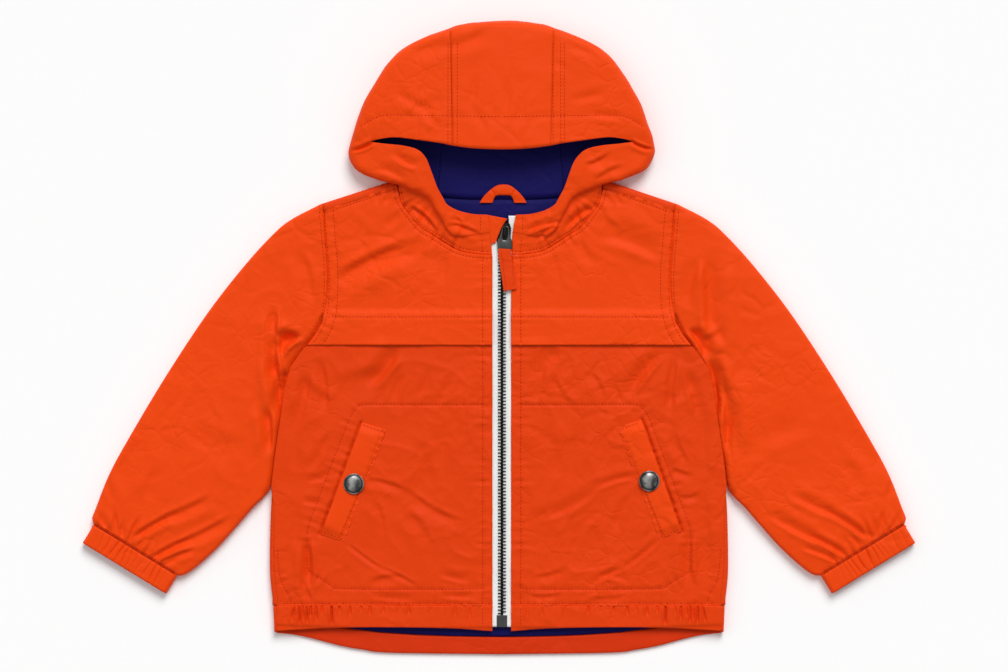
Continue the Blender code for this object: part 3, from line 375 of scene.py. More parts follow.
def noisy(x, y, size, seed):
    places = zip(np.ravel(x) / size, np.ravel(y) / size)
    return np.array([noise.noise((a, b, seed)) for a, b in places]).reshape(np.shape(x))


def crumple(x, y, depth, seed=1.0):
    """Small irregular dents, with soft ridges between them."""
    bent_x = x + 9.0 * noisy(x, y, 45.0, seed + 7.1)
    bent_y = y + 9.0 * noisy(x, y, 45.0, seed + 3.3)
    large = noisy(bent_x, bent_y, 34.0, seed)
    ridged = (1.0 - np.abs(noisy(bent_x, bent_y, 24.0, seed + 1.7))) ** 4
    finer = (1.0 - np.abs(noisy(bent_x, bent_y, 11.0, seed + 2.9))) ** 4
    patchy = ease(noisy(x, y, 60.0, seed + 8.3) * 1.6 + 0.5)
    return depth * (0.8 * large + 0.9 * ridged + 0.55 * finer * patchy - 0.5)


def near_line(x, y, line):
    """The distance to a line and the length along it of its nearest point."""
    best = np.full(np.shape(x), 1e9)
    reach = np.zeros(np.shape(x))
    run = lengths(line)
    for (x0, y0), (x1, y1), start in zip(line, line[1:], run):
        ax, ay = x1 - x0, y1 - y0
        length = math.hypot(ax, ay)
        share = np.clip(((x - x0) * ax + (y - y0) * ay) / length**2, 0.0, 1.0)
        distance = np.hypot(x - x0 - share * ax, y - y0 - share * ay)
        closer = distance < best
        best = np.where(closer, distance, best)
        reach = np.where(closer, start + share * length, reach)
    return best, reach


# A row of sewing: how deep it draws the cloth in, and the height and reach of its puckers
Seam = namedtuple("Seam", "line groove pucker reach width", defaults=(0.45, 0.3, 6.0, 1.15))


def seam_relief(x, y, seams):
    total = np.zeros(np.shape(x))
    for number, seam in enumerate(seams):
        distance, run = near_line(x, y, seam.line)
        total = total - seam.groove * np.exp(-((distance / seam.width) ** 2))
        waves = np.sin(run / 1.25 + number) + 0.8 * np.sin(run / 0.83 + 2.1 * number)
        waves = waves * (0.55 + 0.45 * np.sin(run / 7.3 + 1.3 * number))
        total = total + seam.pucker * waves * np.exp(-distance / seam.reach) * 0.6
    return total


# ---------------------------------------------------------------- the rows of sewing


def hood_lines(label):
    """The rows of topstitching beside one of the hood's seams, in the settled plan."""
    return [[(x, y) for y in HOOD_STITCH_Y] for x in HOOD_STITCH_X[label]]


def both(line):
    """A line on both sides of the jacket, settled."""
    return [side_of(line, side) for _, side in SIDES]


def side_of(line, side):
    """A line on one side of the jacket, settled."""
    line = np.asarray(line, float)
    return np.column_stack([settle(side * line[:, 0], line[:, 1]), line[:, 1]])


def sides_of(lines, side):
    """Some lines on one side of the jacket."""
    return [side_of(line, side) for line in lines]


def sleeve_cuff_line(share_low, share_high, inset):
    top, foot = np.array(SLEEVE_OUTER[-1]), np.array(SLEEVE_INNER[-1])
    across = (foot - top) / np.linalg.norm(foot - top)
    up = np.array([across[1], -across[0]])
    return [top + (foot - top) * share + up * inset for share in np.linspace(share_low, share_high, 9)]


POCKET_LINE = curve(
    (
        (14.2, -50.4), (60, -50.6), (100, -50.4), (107, -53), (111.5, -60), (116, -71), (122.4, -87.6),
        (129.3, -105.6), (137.3, -127), (142, -140), (143.6, -150), (143.4, -168), (141.6, -175.6),
        (133, -180.8), (125.4, -185.6), (118, -188), (60, -188.4), (14.2, -188.2),
    ),
    4,
)
PLACKET_LOWER = [(PLACKET_STITCH_X, -199.0), (PLACKET_STITCH_X, -100.0), (PLACKET_STITCH_X, -7.0)]
PLACKET_UPPER = [(PLACKET_STITCH_X, -4.0), (PLACKET_STITCH_X, 60.0)]
HEM_TOPSTITCH = [(PLACKET_X + 1, -198.9), (90.0, -198.6), (162.0, -198.9)]
HEM_PLACKET = [(PLACKET_STITCH_X, -202.0), (PLACKET_STITCH_X, -217.0)]
YOKE_LINE = [(PLACKET_X + 1, YOKE_STITCH_Y), (60.0, YOKE_STITCH_Y), (128.4, YOKE_STITCH_Y)]
ARMHOLE_LINE = inset_line(curve(ARMHOLE[1:], 6), 8.0)
ARMHOLE_EDGE_LINE = inset_line(curve(ARMHOLE[1:], 6), 1.6)
ARMHOLE_SLEEVE_LINE = inset_line(curve(ARMHOLE[1:], 6), -2.0)
SHOULDER_LINE = shoulder_line(7.6)[:2]
NECK_LINE = inset_line(curve(FRONT_NECK, 6), -2.4)
NECK_COLLAR_LINE = inset_line(curve(FRONT_NECK, 6), 2.4)
SIDE_LINE = curve(((165.4, -158.0), (165.2, -168.0), (163.2, -181.0), (157.6, -192.5), (155.2, -199.0)), 4)
CUFF_LINE = sleeve_cuff_line(0.03, 0.97, 2.0)
FRONT_LINES = (POCKET_LINE, PLACKET_LOWER, HEM_TOPSTITCH, SIDE_LINE)
YOKE_LINES = (PLACKET_UPPER, YOKE_LINE, ARMHOLE_LINE, ARMHOLE_EDGE_LINE, SHOULDER_LINE, NECK_LINE)
# The rows of topstitching beside the hood's seams, in the settled plan
HOOD_STITCH_Y = (219.5, 180.0, 142.5)
HOOD_STITCH_X = {"left": (-37.9, -35.4, -31.0), "right": (40.2, 45.9, 48.6)}
HOOD_HEM_LINE = curve(((105.6, 157), (93.6, 163.6), (83, 165.4), (60, 165), (38, 164.6), (0, 163.8)), 6)
COLLAR_LINE = [(PLACKET_STITCH_X + 1.6, 90.4), (PLACKET_STITCH_X + 1.4, 78.5)]
COLLAR_LOWER_LINE = [(PLACKET_STITCH_X + 0.6, 73.5), (PLACKET_STITCH_X, 63.0)]


# ---------------------------------------------------------------- materials


class Graph:
    """A material and its nodes, made one call at a time; place is the piece's own coordinates."""

    def __init__(self, name):
        self.material = bpy.data.materials.new(name)
        self.material.use_nodes = True
        self.tree = self.material.node_tree
        self.shader = self.tree.nodes["Principled BSDF"]
        self.place = self.add("TexCoord").outputs["Object"]

    def add(self, kind, settings=None, **inputs):
        """A new node. An input's key is its name, or i and its number."""
        made = self.tree.nodes.new("ShaderNode" + kind)
        for key, value in (settings or {}).items():
            setattr(made, key, value)
        for key, value in inputs.items():
            self.feed(made.inputs[int(key[1:]) if key[1:].isdigit() else key.replace("_", " ")], value)
        return made

    def feed(self, socket, value):
        if isinstance(value, bpy.types.NodeSocket):
            self.tree.links.new(value, socket)
        else:
            socket.default_value = value

    def math(self, operation, a, b=0.0, **third):
        return self.add("Math", {"operation": operation}, i0=a, i1=b, **third).outputs[0]

    def noise(self, scale, detail=2.0, roughness=0.5, output="Fac"):
        made = self.add("TexNoise", Vector=self.place, Scale=scale, Detail=detail, Roughness=roughness)
        return made.outputs[output]

    def ramp(self, value, low, high):
        """0 to 1, eased, as a value goes from low to high."""
        settings = {"interpolation_type": "SMOOTHSTEP"}
        return self.add("MapRange", settings, Value=value, From_Min=low, From_Max=high).outputs[0]

    def creases(self):
        """Crisp small creases in patches: the edges of bent cells, of two sizes."""
        found = []
        for scale, mask_scale, weight in ((34.0, 9.0, 1.0), (78.0, 15.0, 0.45)):
            bend = self.noise(scale * 0.9, output="Color")
            bend = self.add("VectorMath", {"operation": "SCALE"}, i0=bend, Scale=0.9 / scale).outputs[0]
            bent = self.add("VectorMath", {"operation": "ADD"}, i0=self.place, i1=bend).outputs[0]
            cells = self.add("TexVoronoi", {"feature": "DISTANCE_TO_EDGE"}, Vector=bent, Scale=scale)
            edge = self.ramp(cells.outputs["Distance"], 0.0, 0.16)
            mask = self.ramp(self.noise(mask_scale), 0.42, 0.66)
            found.append(self.math("MULTIPLY", self.math("MULTIPLY", edge, mask), weight))
        return self.math("ADD", *found)

    def bump(self, height, distance, strength=1.0, normal=None):
        below = {} if normal is None else {"Normal": normal}
        made = self.add("Bump", Height=height, Distance=distance, Strength=strength, **below)
        return made.outputs["Normal"]

    def mix(self, factor, a, b):
        return self.add("Mix", {"data_type": "RGBA"}, i0=factor, i6=a, i7=b).outputs[2]

    def plan(self, layer):
        """The two coordinates of a UV map."""
        uv = self.add("UVMap", {"uv_map": layer}).outputs["UV"]
        return self.add("SeparateXYZ", Vector=uv).outputs[:2]

    def finish(self, **values):
        for key, value in values.items():
            self.feed(self.shader.inputs[key.replace("_", " ")], value)
        return self.material


def tint(colour, factor):
    return (*[min(channel * factor, 1.0) for channel in colour], 1.0)


def cloth_material(name, colour, roughness=0.56, dents=0.00016, pitch=None):
    """Woven cloth: threads in its UV map, and soft dents, dust and wear from its own place."""
    look = bpy.context.scene.jacket
    graph = Graph(name)
    rate = 2 * math.pi / (pitch or look.weave_pitch)
    warp, weft = (graph.math("SINE", graph.math("MULTIPLY", axis, rate)) for axis in graph.plan("Cloth"))
    weave = graph.math("MULTIPLY", warp, weft)
    grain = graph.noise(900.0, 3.0, 0.6)
    small = graph.noise(260.0, 2.0, 0.55)
    large = graph.noise(75.0, 3.0)
    normal = graph.bump(graph.creases(), look.crease_depth)
    normal = graph.bump(weave, 0.00003, 0.35, normal)
    normal = graph.bump(grain, 0.00005, 0.4, normal)
    normal = graph.bump(small, dents * 0.9, 0.9, normal)
    normal = graph.bump(large, dents * 2.5, 0.9, normal)
    fade = graph.math("MULTIPLY_ADD", graph.noise(14.0, 3.0, 0.6), 0.9, i2=-0.1)
    base = graph.mix(fade, tint(colour, 0.95), tint(colour, 1.05))
    fleck = graph.math("MULTIPLY", graph.math("ADD", weave, grain), 0.1)
    return graph.finish(
        Base_Color=graph.mix(fleck, base, tint(colour, 0.82)),
        Roughness=graph.math("MULTIPLY_ADD", large, 0.12, i2=roughness - 0.06),
        Normal=normal,
        Sheen_Weight=0.03,
        Sheen_Roughness=0.45,
        Specular_IOR_Level=0.1,
    )


# The thread is the cloth's orange darkened: painted shade of the stitch grooves.
def thread_material(name, colour):
    graph = Graph(name)
    twist = graph.noise(2500.0)
    base = graph.mix(twist, tint(colour, 0.85), tint(colour, 1.1))
    normal = graph.bump(twist, 0.00004)
    return graph.finish(Base_Color=base, Roughness=0.7, Normal=normal, Specular_IOR_Level=0.15)


def metal_material(name, colour, roughness):
    graph = Graph(name)
    scuff = graph.noise(1400.0, 4.0, 0.7)
    rough = graph.math("MULTIPLY_ADD", scuff, 0.25, i2=roughness - 0.1)
    base = graph.mix(graph.noise(240.0), tint(colour, 0.8), tint(colour, 1.25))
    normal = graph.bump(scuff, 0.00002, 0.5)
    return graph.finish(Base_Color=base, Roughness=rough, Metallic=1.0, Normal=normal)


def snap_material(name, colour):
    """Metal with painted reflections in soft upright bands, and painted shade in a dark ring inside the rim.
    """
    graph = Graph(name)
    x, y = (graph.math("SUBTRACT", axis, 0.5) for axis in graph.plan("Cap"))
    away = graph.math("SQRT", graph.math("ADD", graph.math("MULTIPLY", x, x), graph.math("MULTIPLY", y, y)))
    # A dark ring just inside the rim, mixed in below: painted shade of the rim's hollow.
    ring = graph.math("MULTIPLY", graph.math("SUBTRACT", away, 0.405), 22.0)
    ring = graph.math("POWER", graph.math("ABSOLUTE", ring), 2.0)
    ring = graph.math("DIVIDE", 1.0, graph.math("ADD", ring, 1.0))
    # Soft upright bands from dark to much lighter metal: painted reflections.
    reflection_sway = graph.math("MULTIPLY", graph.noise(260.0), 5.0)
    reflection_sway = graph.math("ADD", graph.math("MULTIPLY", x, 11.0), reflection_sway)
    painted_reflection_band = graph.math("MULTIPLY", graph.math("ADD", graph.math("SINE", reflection_sway), 1.0), 0.5)
    base = graph.mix(painted_reflection_band, tint(colour, 0.9), tint(colour, 4.4))
    base = graph.mix(ring, base, tint(colour, 0.25))
    normal = graph.bump(graph.noise(1400.0, 4.0), 0.00002, 0.5)
    return graph.finish(Base_Color=base, Roughness=0.3, Metallic=1.0, Normal=normal)


def tape_material(name, colour):
    """Zip tape: a close herringbone across its UV map."""
    graph = Graph(name)
    across, ahead = graph.plan("Cloth")
    slant = graph.math("ADD", graph.math("PINGPONG", across, 1.1), ahead)
    ribs = graph.math("SINE", graph.math("MULTIPLY", slant, 2 * math.pi / 0.7))
    normal = graph.bump(graph.noise(1200.0, 3.0), 0.00006, 0.5, graph.bump(ribs, 0.00008, 0.6))
    base = graph.mix(graph.math("MULTIPLY_ADD", ribs, 0.1, i2=0.5), tint(colour, 1.0), tint(colour, 0.86))
    return graph.finish(Base_Color=base, Roughness=0.8, Normal=normal)


MATERIALS = {}
# What makes each material, its name, the setting with its colour, and its other values
LOOKS = {
    "shell": (cloth_material, "Outer cloth", "shell_color"),
    # The next cloth is the outer cloth darkened: painted shade on the back, fronts, hems and pull strip.
    "shaded_shell": (cloth_material, "Lower front cloth", "low_color", 0.56, 0.0002),
    # The facing is the outer cloth darkened: painted shade under the front hem.
    "facing": (cloth_material, "Facing", "facing_color", 0.6),
    "lining": (cloth_material, "Lining", "lining_color", 0.6, 0.00016, 0.6),
    "thread": (thread_material, "Thread", "thread_color"),
    "tape": (tape_material, "Zip tape", "tape_color"),
    "teeth": (metal_material, "Zip teeth", "teeth_color", 0.45),
    "metal": (metal_material, "Dark metal", "metal_color", 0.34),
    "snap": (snap_material, "Snap metal", "metal_color"),
}


def material(key):
    """One of the jacket's materials, made when it is first asked for."""
    if key not in MATERIALS:
        maker, name, setting, *values = LOOKS[key]
        MATERIALS[key] = maker(name, getattr(bpy.context.scene.jacket, setting), *values)
    return MATERIALS[key]


# ---------------------------------------------------------------- mesh making


def link(name, data, key):
    made = bpy.data.objects.new(name, data)
    made.data.materials.append(material(key))
    bpy.context.scene.collection.objects.link(made)
    return made


def from_bmesh(name, mesh, key):
    """An object with a bmesh's form. The bmesh is freed."""
    data = bpy.data.meshes.new(name)
    mesh.to_mesh(data)
    mesh.free()
    return link(name, data, key)


def cloth_object(name, grids, key="shell", wall=SHELL_WALL, offset=-1.0):
    """A piece of cloth from grids of points in millimetres; points that meet are made one.

    Its UV map is the cloth's own length and width in millimetres."""
    known, points, faces, spots = {}, [], [], []
    for grid in grids:
        rows, columns = grid.shape[:2]
        middle_row, middle_column = grid[rows // 2], grid[:, columns // 2]
        u, v = lengths(middle_row), lengths(middle_column)
        index = np.zeros((rows, columns), int)
        for i in range(rows):
            for j in range(columns):
                place = tuple(np.round(grid[i, j], 2))
                if place not in known:
                    known[place] = len(points)
                    points.append(grid[i, j] * MM)
                index[i, j] = known[place]
        for i in range(rows - 1):
            for j in range(columns - 1):
                ring = (index[i, j], index[i, j + 1], index[i + 1, j + 1], index[i + 1, j])
                places = ((u[j], v[i]), (u[j + 1], v[i]), (u[j + 1], v[i + 1]), (u[j], v[i + 1]))
                kept = [k for k in range(4) if ring[k] != ring[k - 1]]
                if len(kept) > 2 and len(set(ring)) == len(kept):
                    faces.append([ring[k] for k in kept])
                    spots.append([places[k] for k in kept])
    data = bpy.data.meshes.new(name)
    data.from_pydata(points, [], faces)
    layer = data.uv_layers.new(name="Cloth")
    layer.data.foreach_set("uv", [value for ring in spots for spot in ring for value in spot])
    mesh = bmesh.new()
    mesh.from_mesh(data)
    bmesh.ops.recalc_face_normals(mesh, faces=mesh.faces[:])
    top = max(mesh.faces, key=lambda face: face.calc_center_median().z)
    if top.normal.z < 0:
        bmesh.ops.reverse_faces(mesh, faces=mesh.faces[:])
    mesh.to_mesh(data)
    mesh.free()
    made = link(name, data, key)
    data.shade_smooth()
    if wall:
        thickness = made.modifiers.new("Wall", "SOLIDIFY")
        thickness.thickness = wall * MM
        thickness.offset = offset
    return made


def settled(x, y, z):
    """Grids of x, y and z as one grid of settled points."""
    return np.stack([settle(x, y), y, z], axis=-1)


def stand_in(piece, node, body="jacket"):
    """The piece replaces a node and rides on its body."""
    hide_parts(node)
    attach(piece, body)


def lay(piece, node, flat, area=None):
    """The piece replaces a node of the jacket."""
    stand_in(piece, node)


def patch_grid(patch, side, across, up, height):
    plan = patch.points(across, up)
    x, y = side * plan[..., 0], plan[..., 1]
    world_x = settle(x, y)
    return np.stack([world_x, y, height(world_x, y)], axis=-1)


def body_height(level, seams, seed, dents):
    """The height of the front's cloth in plan: its level, creases, dents and seams."""

    def height(x, y):
        scale = bpy.context.scene.jacket.fold_scale
        found = level(x, y) + fold_relief(x, y, BODY_FOLDS, scale)
        found = found + crumple(x, y, dents * scale, seed)
        return found + seam_relief(x, y, seams)

    return height


def body_edge():
    """The body's outline from the hem seam up round the armpit, with its rolls and insets."""
    foot_y = HEM_SEAM_Y + SEAM_GAP
    line = joined(curve(SIDE, 4), curve(UNDERARM, 4)[1:])
    line = line[line[:, 1] > foot_y]
    line = joined([(line[0][0], foot_y)], line)
    return line, read(FOLD_ROLL, line[:, 1]), read(SEAM_INSET, line[:, 1])


def rolled(edge, outward, roll, lap, lean=0.0, sunk=0.0):
    """Rows that turn a flat layer's edge up and over it, as far as its lap.

    lean is how far its upper side hangs out over the layer beside it, and sunk how far
    it lies below the height of the laid-out cloth."""
    high = LAID_HEIGHT - sunk + np.zeros(len(edge))
    rows = []
    for degrees in range(-90, 91, 15):
        angle = math.radians(degrees)
        shift = outward * (roll * math.cos(angle) + lean * ease((degrees - 5) / 50))[:, None]
        height = UNDERSIDE + (high - UNDERSIDE) / 2 * (1 + math.sin(angle))
        rows.append(np.column_stack([edge + shift, height]))
    for before in (2.6, 1.0, 0.9, 0.8, 0.6, 0.0):
        inside = outward * np.maximum(lap - before, 0.0)[:, None]
        rows.append(np.column_stack([edge - inside, high - 1.1 * ease((0.95 - before) / 0.35)]))
    return np.array(rows)


def under_front(y):
    """1 beside the sleeves, where the fronts reach past the back's fold, and 0 below them."""
    return ease((y + 126.0) / 12.0)


def outward_of(line):
    ahead = np.gradient(line, axis=0)
    ahead /= np.linalg.norm(ahead, axis=1)[:, None]
    return np.column_stack([ahead[:, 1], -ahead[:, 0]])


def make_back():
    """The back: one layer that folds round each side and over each shoulder."""
    tip_in, out = shoulder_line(ROLL)[1:]
    foot_y = HEM_SEAM_Y + SEAM_GAP
    edge, roll, _ = body_edge()
    side = inset_line(edge, roll)
    upper = curve(ARMHOLE[4:], 4) - (0.15, 0.0)
    head = joined(curve(BACK_NECK, 4), [tip_in])
    outer = joined(side, upper, [tip_in])
    patch = Patch([(0.0, foot_y), side[0]], head, [(0.0, foot_y), BACK_NECK[0]], outer)
    turned = lengths(side)[-1] / lengths(outer)[-1]
    neck = lengths(curve(BACK_NECK, 4))[-1] / lengths(head)[-1]
    neck_columns, side_rows = 9, 91
    across = np.concatenate([np.linspace(0, neck, neck_columns), np.linspace(neck, 1, 19)[1:]])
    up = np.concatenate([np.linspace(0, turned, side_rows), np.linspace(turned, 1, 13)[1:]])
    plan = patch.points(across, up)
    flat = np.concatenate([plan, np.full((*plan.shape[:2], 1), UNDERSIDE)], axis=2)
    rows = plan[:side_rows, -1]
    row_roll = read(FOLD_ROLL, rows[:, 1])
    lap = np.maximum(read(SEAM_INSET, rows[:, 1]) - SEAM_GAP - row_roll, 0.2)
    covered = under_front(rows[:, 1])
    shoulder = plan[-1, neck_columns - 1 :]
    over = np.full(len(shoulder), ROLL)
    shoulder_out = np.tile(out, (len(shoulder), 1))
    grids = []
    for sign in (-1, 1):
        parts = (
            flat,
            rolled(rows, outward_of(rows), row_roll, lap, 0.5 * covered, covered),
            rolled(shoulder, shoulder_out, over, over * 0 + FOLD_TURN - ROLL + 0.6),
        )
        grids += [settled(sign * part[..., 0], part[..., 1], part[..., 2]) for part in parts]
    lay(cloth_object("Back", grids, "shaded_shell"), "back_panel", (0.344, 0.33), 0.098)


def front_level(x, y):
    """The fronts' height in plan: lower below the hem's seam and under the yoke."""
    return LAID_HEIGHT - 2.2 * ease((HEM_SEAM_Y - 0.2 - y) / 0.9) - 0.8 * ease((y - 2.0) / 4.0)


def front_outer(foot_y):
    """The fronts' outer edge: inside the back's fold, and out past it beside the sleeves."""
    edge, roll, seam_inset = body_edge()
    inset = np.maximum(seam_inset - 1.2, roll + 0.1)
    past_fold = (inset + 0.9) * under_front(edge[:, 1])
    outer = inset_line(edge, inset - past_fold * ease((-5.0 - edge[:, 1]) / 3.0))
    outer = outer[outer[:, 1] < FRONT_TOP_Y]
    return joined([(outer[0][0], foot_y)], outer)


def make_fronts():
    foot_y = HEM_SEAM_Y - 2.0
    outer = front_outer(foot_y)
    inner = [(PLACKET_X, foot_y), (PLACKET_X, FRONT_TOP_Y)]
    patch = Patch([inner[0], outer[0]], [inner[1], outer[-1]], inner, outer)
    across = spaced(150.0, 1.1, (PLACKET_STITCH_X - PLACKET_X,))
    up = spaced(210.0, 1.2, (2.0, 12.8, 150.0), 1.9, 0.5)
    for label, side in SIDES:
        seams = [Seam(line, 0.5, 0.5, 5.0) for line in sides_of(FRONT_LINES, side)]
        seams.append(Seam(side_of([(PLACKET_X, HEM_SEAM_Y), (163.0, HEM_SEAM_Y)], side), 0.35, 0.7, 7.0))
        shift_x, shift_y = POCKET_SHIFT[side]
        opening = np.array([WELT_CORNERS[2], WELT_CORNERS[1]]) + (side * shift_x + 0.5, shift_y)
        seams.append(Seam(side_of(opening, side), 2.8, 0.7, 6.0, 0.8))
        rough = body_height(front_level, seams, 1.0 + side, 0.8)
        edge_line = side_of(outer, side)

        def height(x, y):
            flat = front_level(x, y)
            inside = ease(near_line(x, y, edge_line)[0] / 8.0)
            return flat + (rough(x, y) - flat) * (0.1 + 0.9 * inside)

        made = cloth_object("Front_" + label, [patch_grid(patch, side, across, up, height)], "shaded_shell")
        lay(made, "front_" + label, (0.156, 0.209))


def yoke_level(x, y):
    """The yokes' height in plan: their free lower edge lies doubled over the fronts."""
    over = LAID_HEIGHT + SEAM_GAP + 1.4
    down = ease((y - YOKE_STITCH_Y) / 7.0)
    lift = 0.35 * np.sin(x / 17.0) * ease((2.0 - y) / 8.0)
    return over + lift + (LAID_HEIGHT - over) * down


def make_yokes():
    top_in, tip_in, _ = shoulder_line(FOLD_TURN - 0.9)
    neck = inset_line(curve(FRONT_NECK[:-1], 5), 0.5)
    neck[:, 0] = np.maximum(neck[:, 0], PLACKET_X)
    head = joined(neck, [top_in], [tip_in])
    armhole = curve(ARMHOLE[3:6], 5) - (SEAM_GAP, 0)
    outer = joined([(143.6, YOKE_FLAP_Y), (137.6, 1.9), (132.2, 11.2)], armhole[2:], [tip_in])
    inner = [(PLACKET_X, YOKE_FLAP_Y), (PLACKET_X, FRONT_NECK[0][1])]
    patch = Patch([inner[0], outer[0]], head, inner, outer)
    across = spaced(145.0, 1.3, (PLACKET_STITCH_X - PLACKET_X,))
    up = spaced(105.0, 1.3, (15.0,))
    for label, side in SIDES:
        seams = [Seam(line) for line in sides_of(YOKE_LINES, side)]
        seams.append(Seam(side_of(curve(FRONT_NECK, 5), side), 0.35, 0.9, 7.0))
        seams.append(Seam(side_of(outer, side), 0.9, 0.4, 6.0))
        grid = patch_grid(patch, side, across, up, body_height(yoke_level, seams, 11.0 + side, 0.45))
        made = cloth_object("Yoke_" + label, [grid], wall=1.0)
        lay(made, "yoke_" + label, (0.137, 0.119), 0.0129)


class Tube:
    """A flattened tube's plan: its two folds and, between them, its first and last edges.

    roll gives how far each point of the right fold is rolled over; the left's is ROLL."""

    def __init__(self, left_fold, right_fold, first, roll):
        right_fold = np.asarray(right_fold, float)
        self.left = inset_line(left_fold, -ROLL)
        self.right = inset_line(right_fold, roll)
        self.run = lengths(self.right) / lengths(self.right)[-1]
        self.roll = roll
        start = joined(self.left[:1], first, self.right[:1]) if len(first) else (self.left[0], self.right[0])
        self.patch = Patch(start, (self.left[-1], self.right[-1]), self.left, self.right)

    def fold(self, line, up, sign, degrees, roll):
        ahead = along(line, np.clip(up + 0.015, 0, 1)) - along(line, np.clip(up - 0.015, 0, 1))
        ahead /= np.linalg.norm(ahead, axis=1)[:, None]
        outward = np.column_stack([-ahead[:, 1], ahead[:, 0]]) * sign
        place = along(line, up)
        radius = (LAID_HEIGHT - UNDERSIDE) / 2
        columns = []
        for angle in np.radians(degrees):
            x, y = (place + outward * (roll * math.cos(angle))[:, None]).T
            z = np.full(len(x), UNDERSIDE + radius * (1 + math.sin(angle)))
            columns.append(np.column_stack([x, y, z]))
        return np.stack(columns, axis=1)

    def layer(self, across, up, z):
        plan = self.patch.points(across, up)
        return np.concatenate([plan, np.full((*plan.shape[:2], 1), z)], axis=2)

    def grid(self, side, across, up, under, height, lips=()):
        """Rows of closed rings; height raises the upper layer and fades round the folds.

        lips gives, for the first end and the last, how far the cloth goes on into its
        neighbour, in plan; there it is thinner, to fit inside."""
        top = self.layer(across, up, LAID_HEIGHT)
        bottom = self.layer(np.linspace(1, 0, under), up, UNDERSIDE)
        angles = np.arange(72, -73, -18)
        right = self.fold(self.right, up, -1, angles, np.interp(up, self.run, self.roll))
        left = self.fold(self.left, up, 1, -angles, np.full(len(up), ROLL))
        ring = np.concatenate([top, right, bottom, left, top[:, :1]], axis=1)
        x, y, z = side * ring[..., 0], ring[..., 1], ring[..., 2]
        on_top = ease((z - UNDERSIDE - 3.0) / 4.5)
        share = np.zeros(z.shape)
        share[:, : len(across)] = np.asarray(across)
        share[:, len(across) : len(across) + len(angles)] = 1.0
        rise = height(settle(x, y), y, share, np.broadcast_to(np.asarray(up)[:, None], z.shape))
        z = z + on_top * rise
        rows = [np.stack([x, y, z], axis=-1)]
        for end, lip in zip((0, -1), lips):
            added = []
            for part, thin in ((0.25, 0.8), (0.6, 0.6), (1.0, 0.5)):
                reached = (x[end] + side * lip[0] * part, y[end] + lip[1] * part)
                added.append(np.stack([*reached, 4.0 + (z[end] - 4.0) * thin], axis=-1))
            if end == 0:
                rows.insert(0, np.array(added[::-1]))
            else:
                rows.append(np.array(added))
        ring = np.concatenate(rows)
        return settled(ring[..., 0], ring[..., 1], ring[..., 2])


def make_sleeves():
    outer, inner = curve(SLEEVE_OUTER, 6), curve(SLEEVE_INNER, 6)
    tube = Tube(outer, inner, SLEEVE_ARMHOLE, read(FOLD_ROLL, inner[:, 1]))
    across = spaced(125.0, 1.9, (110.0,), 15.0, 1.2)
    up = spaced(300.0, 2.1, (298.0, 3.0), 2.0)
    # Closer rows beside the body, where the armpit's creases are
    up = np.sort(np.concatenate([up[(up < 0.018) | (up > 0.253)], np.arange(0.0185, 0.2526, 0.0043)]))
    for label, side in SIDES:
        seams = [
            Seam(side_of(ARMHOLE_SLEEVE_LINE, side), 0.35, 0.3, 6.0),
            Seam(side_of(sleeve_cuff_line(0.0, 1.0, 0.0), side), 0.7, 1.2, 8.0),
            Seam(side_of(CUFF_LINE, side), 0.3, 0.3, 4.0),
        ]
        tuck = [point for point in side_of(inset_line(inner, 0.5), side) if point[1] > -118.0]

        def height(x, y, share, up):
            look = bpy.context.scene.jacket
            crown = look.sleeve_crown / MM * np.clip(1 - (2 * share - 1) ** 2, 0, 1) ** 0.7
            crown = crown * ease(up / 0.12) * ease((1.0 - up) / 0.1)
            rise = crown + fold_relief(x, y, SLEEVE_FOLDS, look.fold_scale)
            rise = rise - 1.9 * np.exp(-((near_line(x, y, tuck)[0] / 2.4) ** 2))
            rise = rise + crumple(x, y, 0.5 * look.fold_scale, 21.0 + side) + seam_relief(x, y, seams)
            return np.maximum(rise, SLEEVE_DEEPEST)

        grid = tube.grid(side, across, up, 5, height, ((-2.2, 0.3), (1.8, -1.8)))
        lay(cloth_object("Sleeve_" + label, [grid]), "sleeve_" + label, (0.26, 0.29), 0.068)


def make_cuffs():
    top, foot = np.array(SLEEVE_OUTER[-1]), np.array(SLEEVE_INNER[-1])
    across = (foot - top) / np.linalg.norm(foot - top)
    down = np.array([-across[1], across[0]]) * CUFF_LENGTH
    tube = Tube([top, top + down], [foot, foot + down], (), np.full(2, ROLL))
    for label, side in SIDES:

        def height(x, y, share, up):
            run = share * 66.0 + 0.8 * np.sin(up * 3.0 + share * 17.0)
            wave = np.abs(np.sin(run / 1.5 + 0.9 * np.sin(run / 4.3 + side)))
            deep = 0.6 + 0.4 * np.sin(run / 6.1 + 2.0 * side)
            drawn = ease(share / 0.12) * ease((1.0 - share) / 0.22) * (0.35 + 0.65 * ease((0.95 - up) / 0.3))
            gathers = -1.5 * deep * drawn * (1.0 - wave) ** 2.2
            return 0.3 + gathers - 0.3 * np.exp(-((up / 0.05) ** 2)) - 0.6 * ease((up - 0.88) / 0.12) ** 2

        grid = tube.grid(side, spaced(68.0, 0.42), spaced(CUFF_LENGTH, 0.9), 12, height)
        lay(cloth_object("Cuff_" + label, [grid]), "cuff_" + label, (0.155, 0.0155))


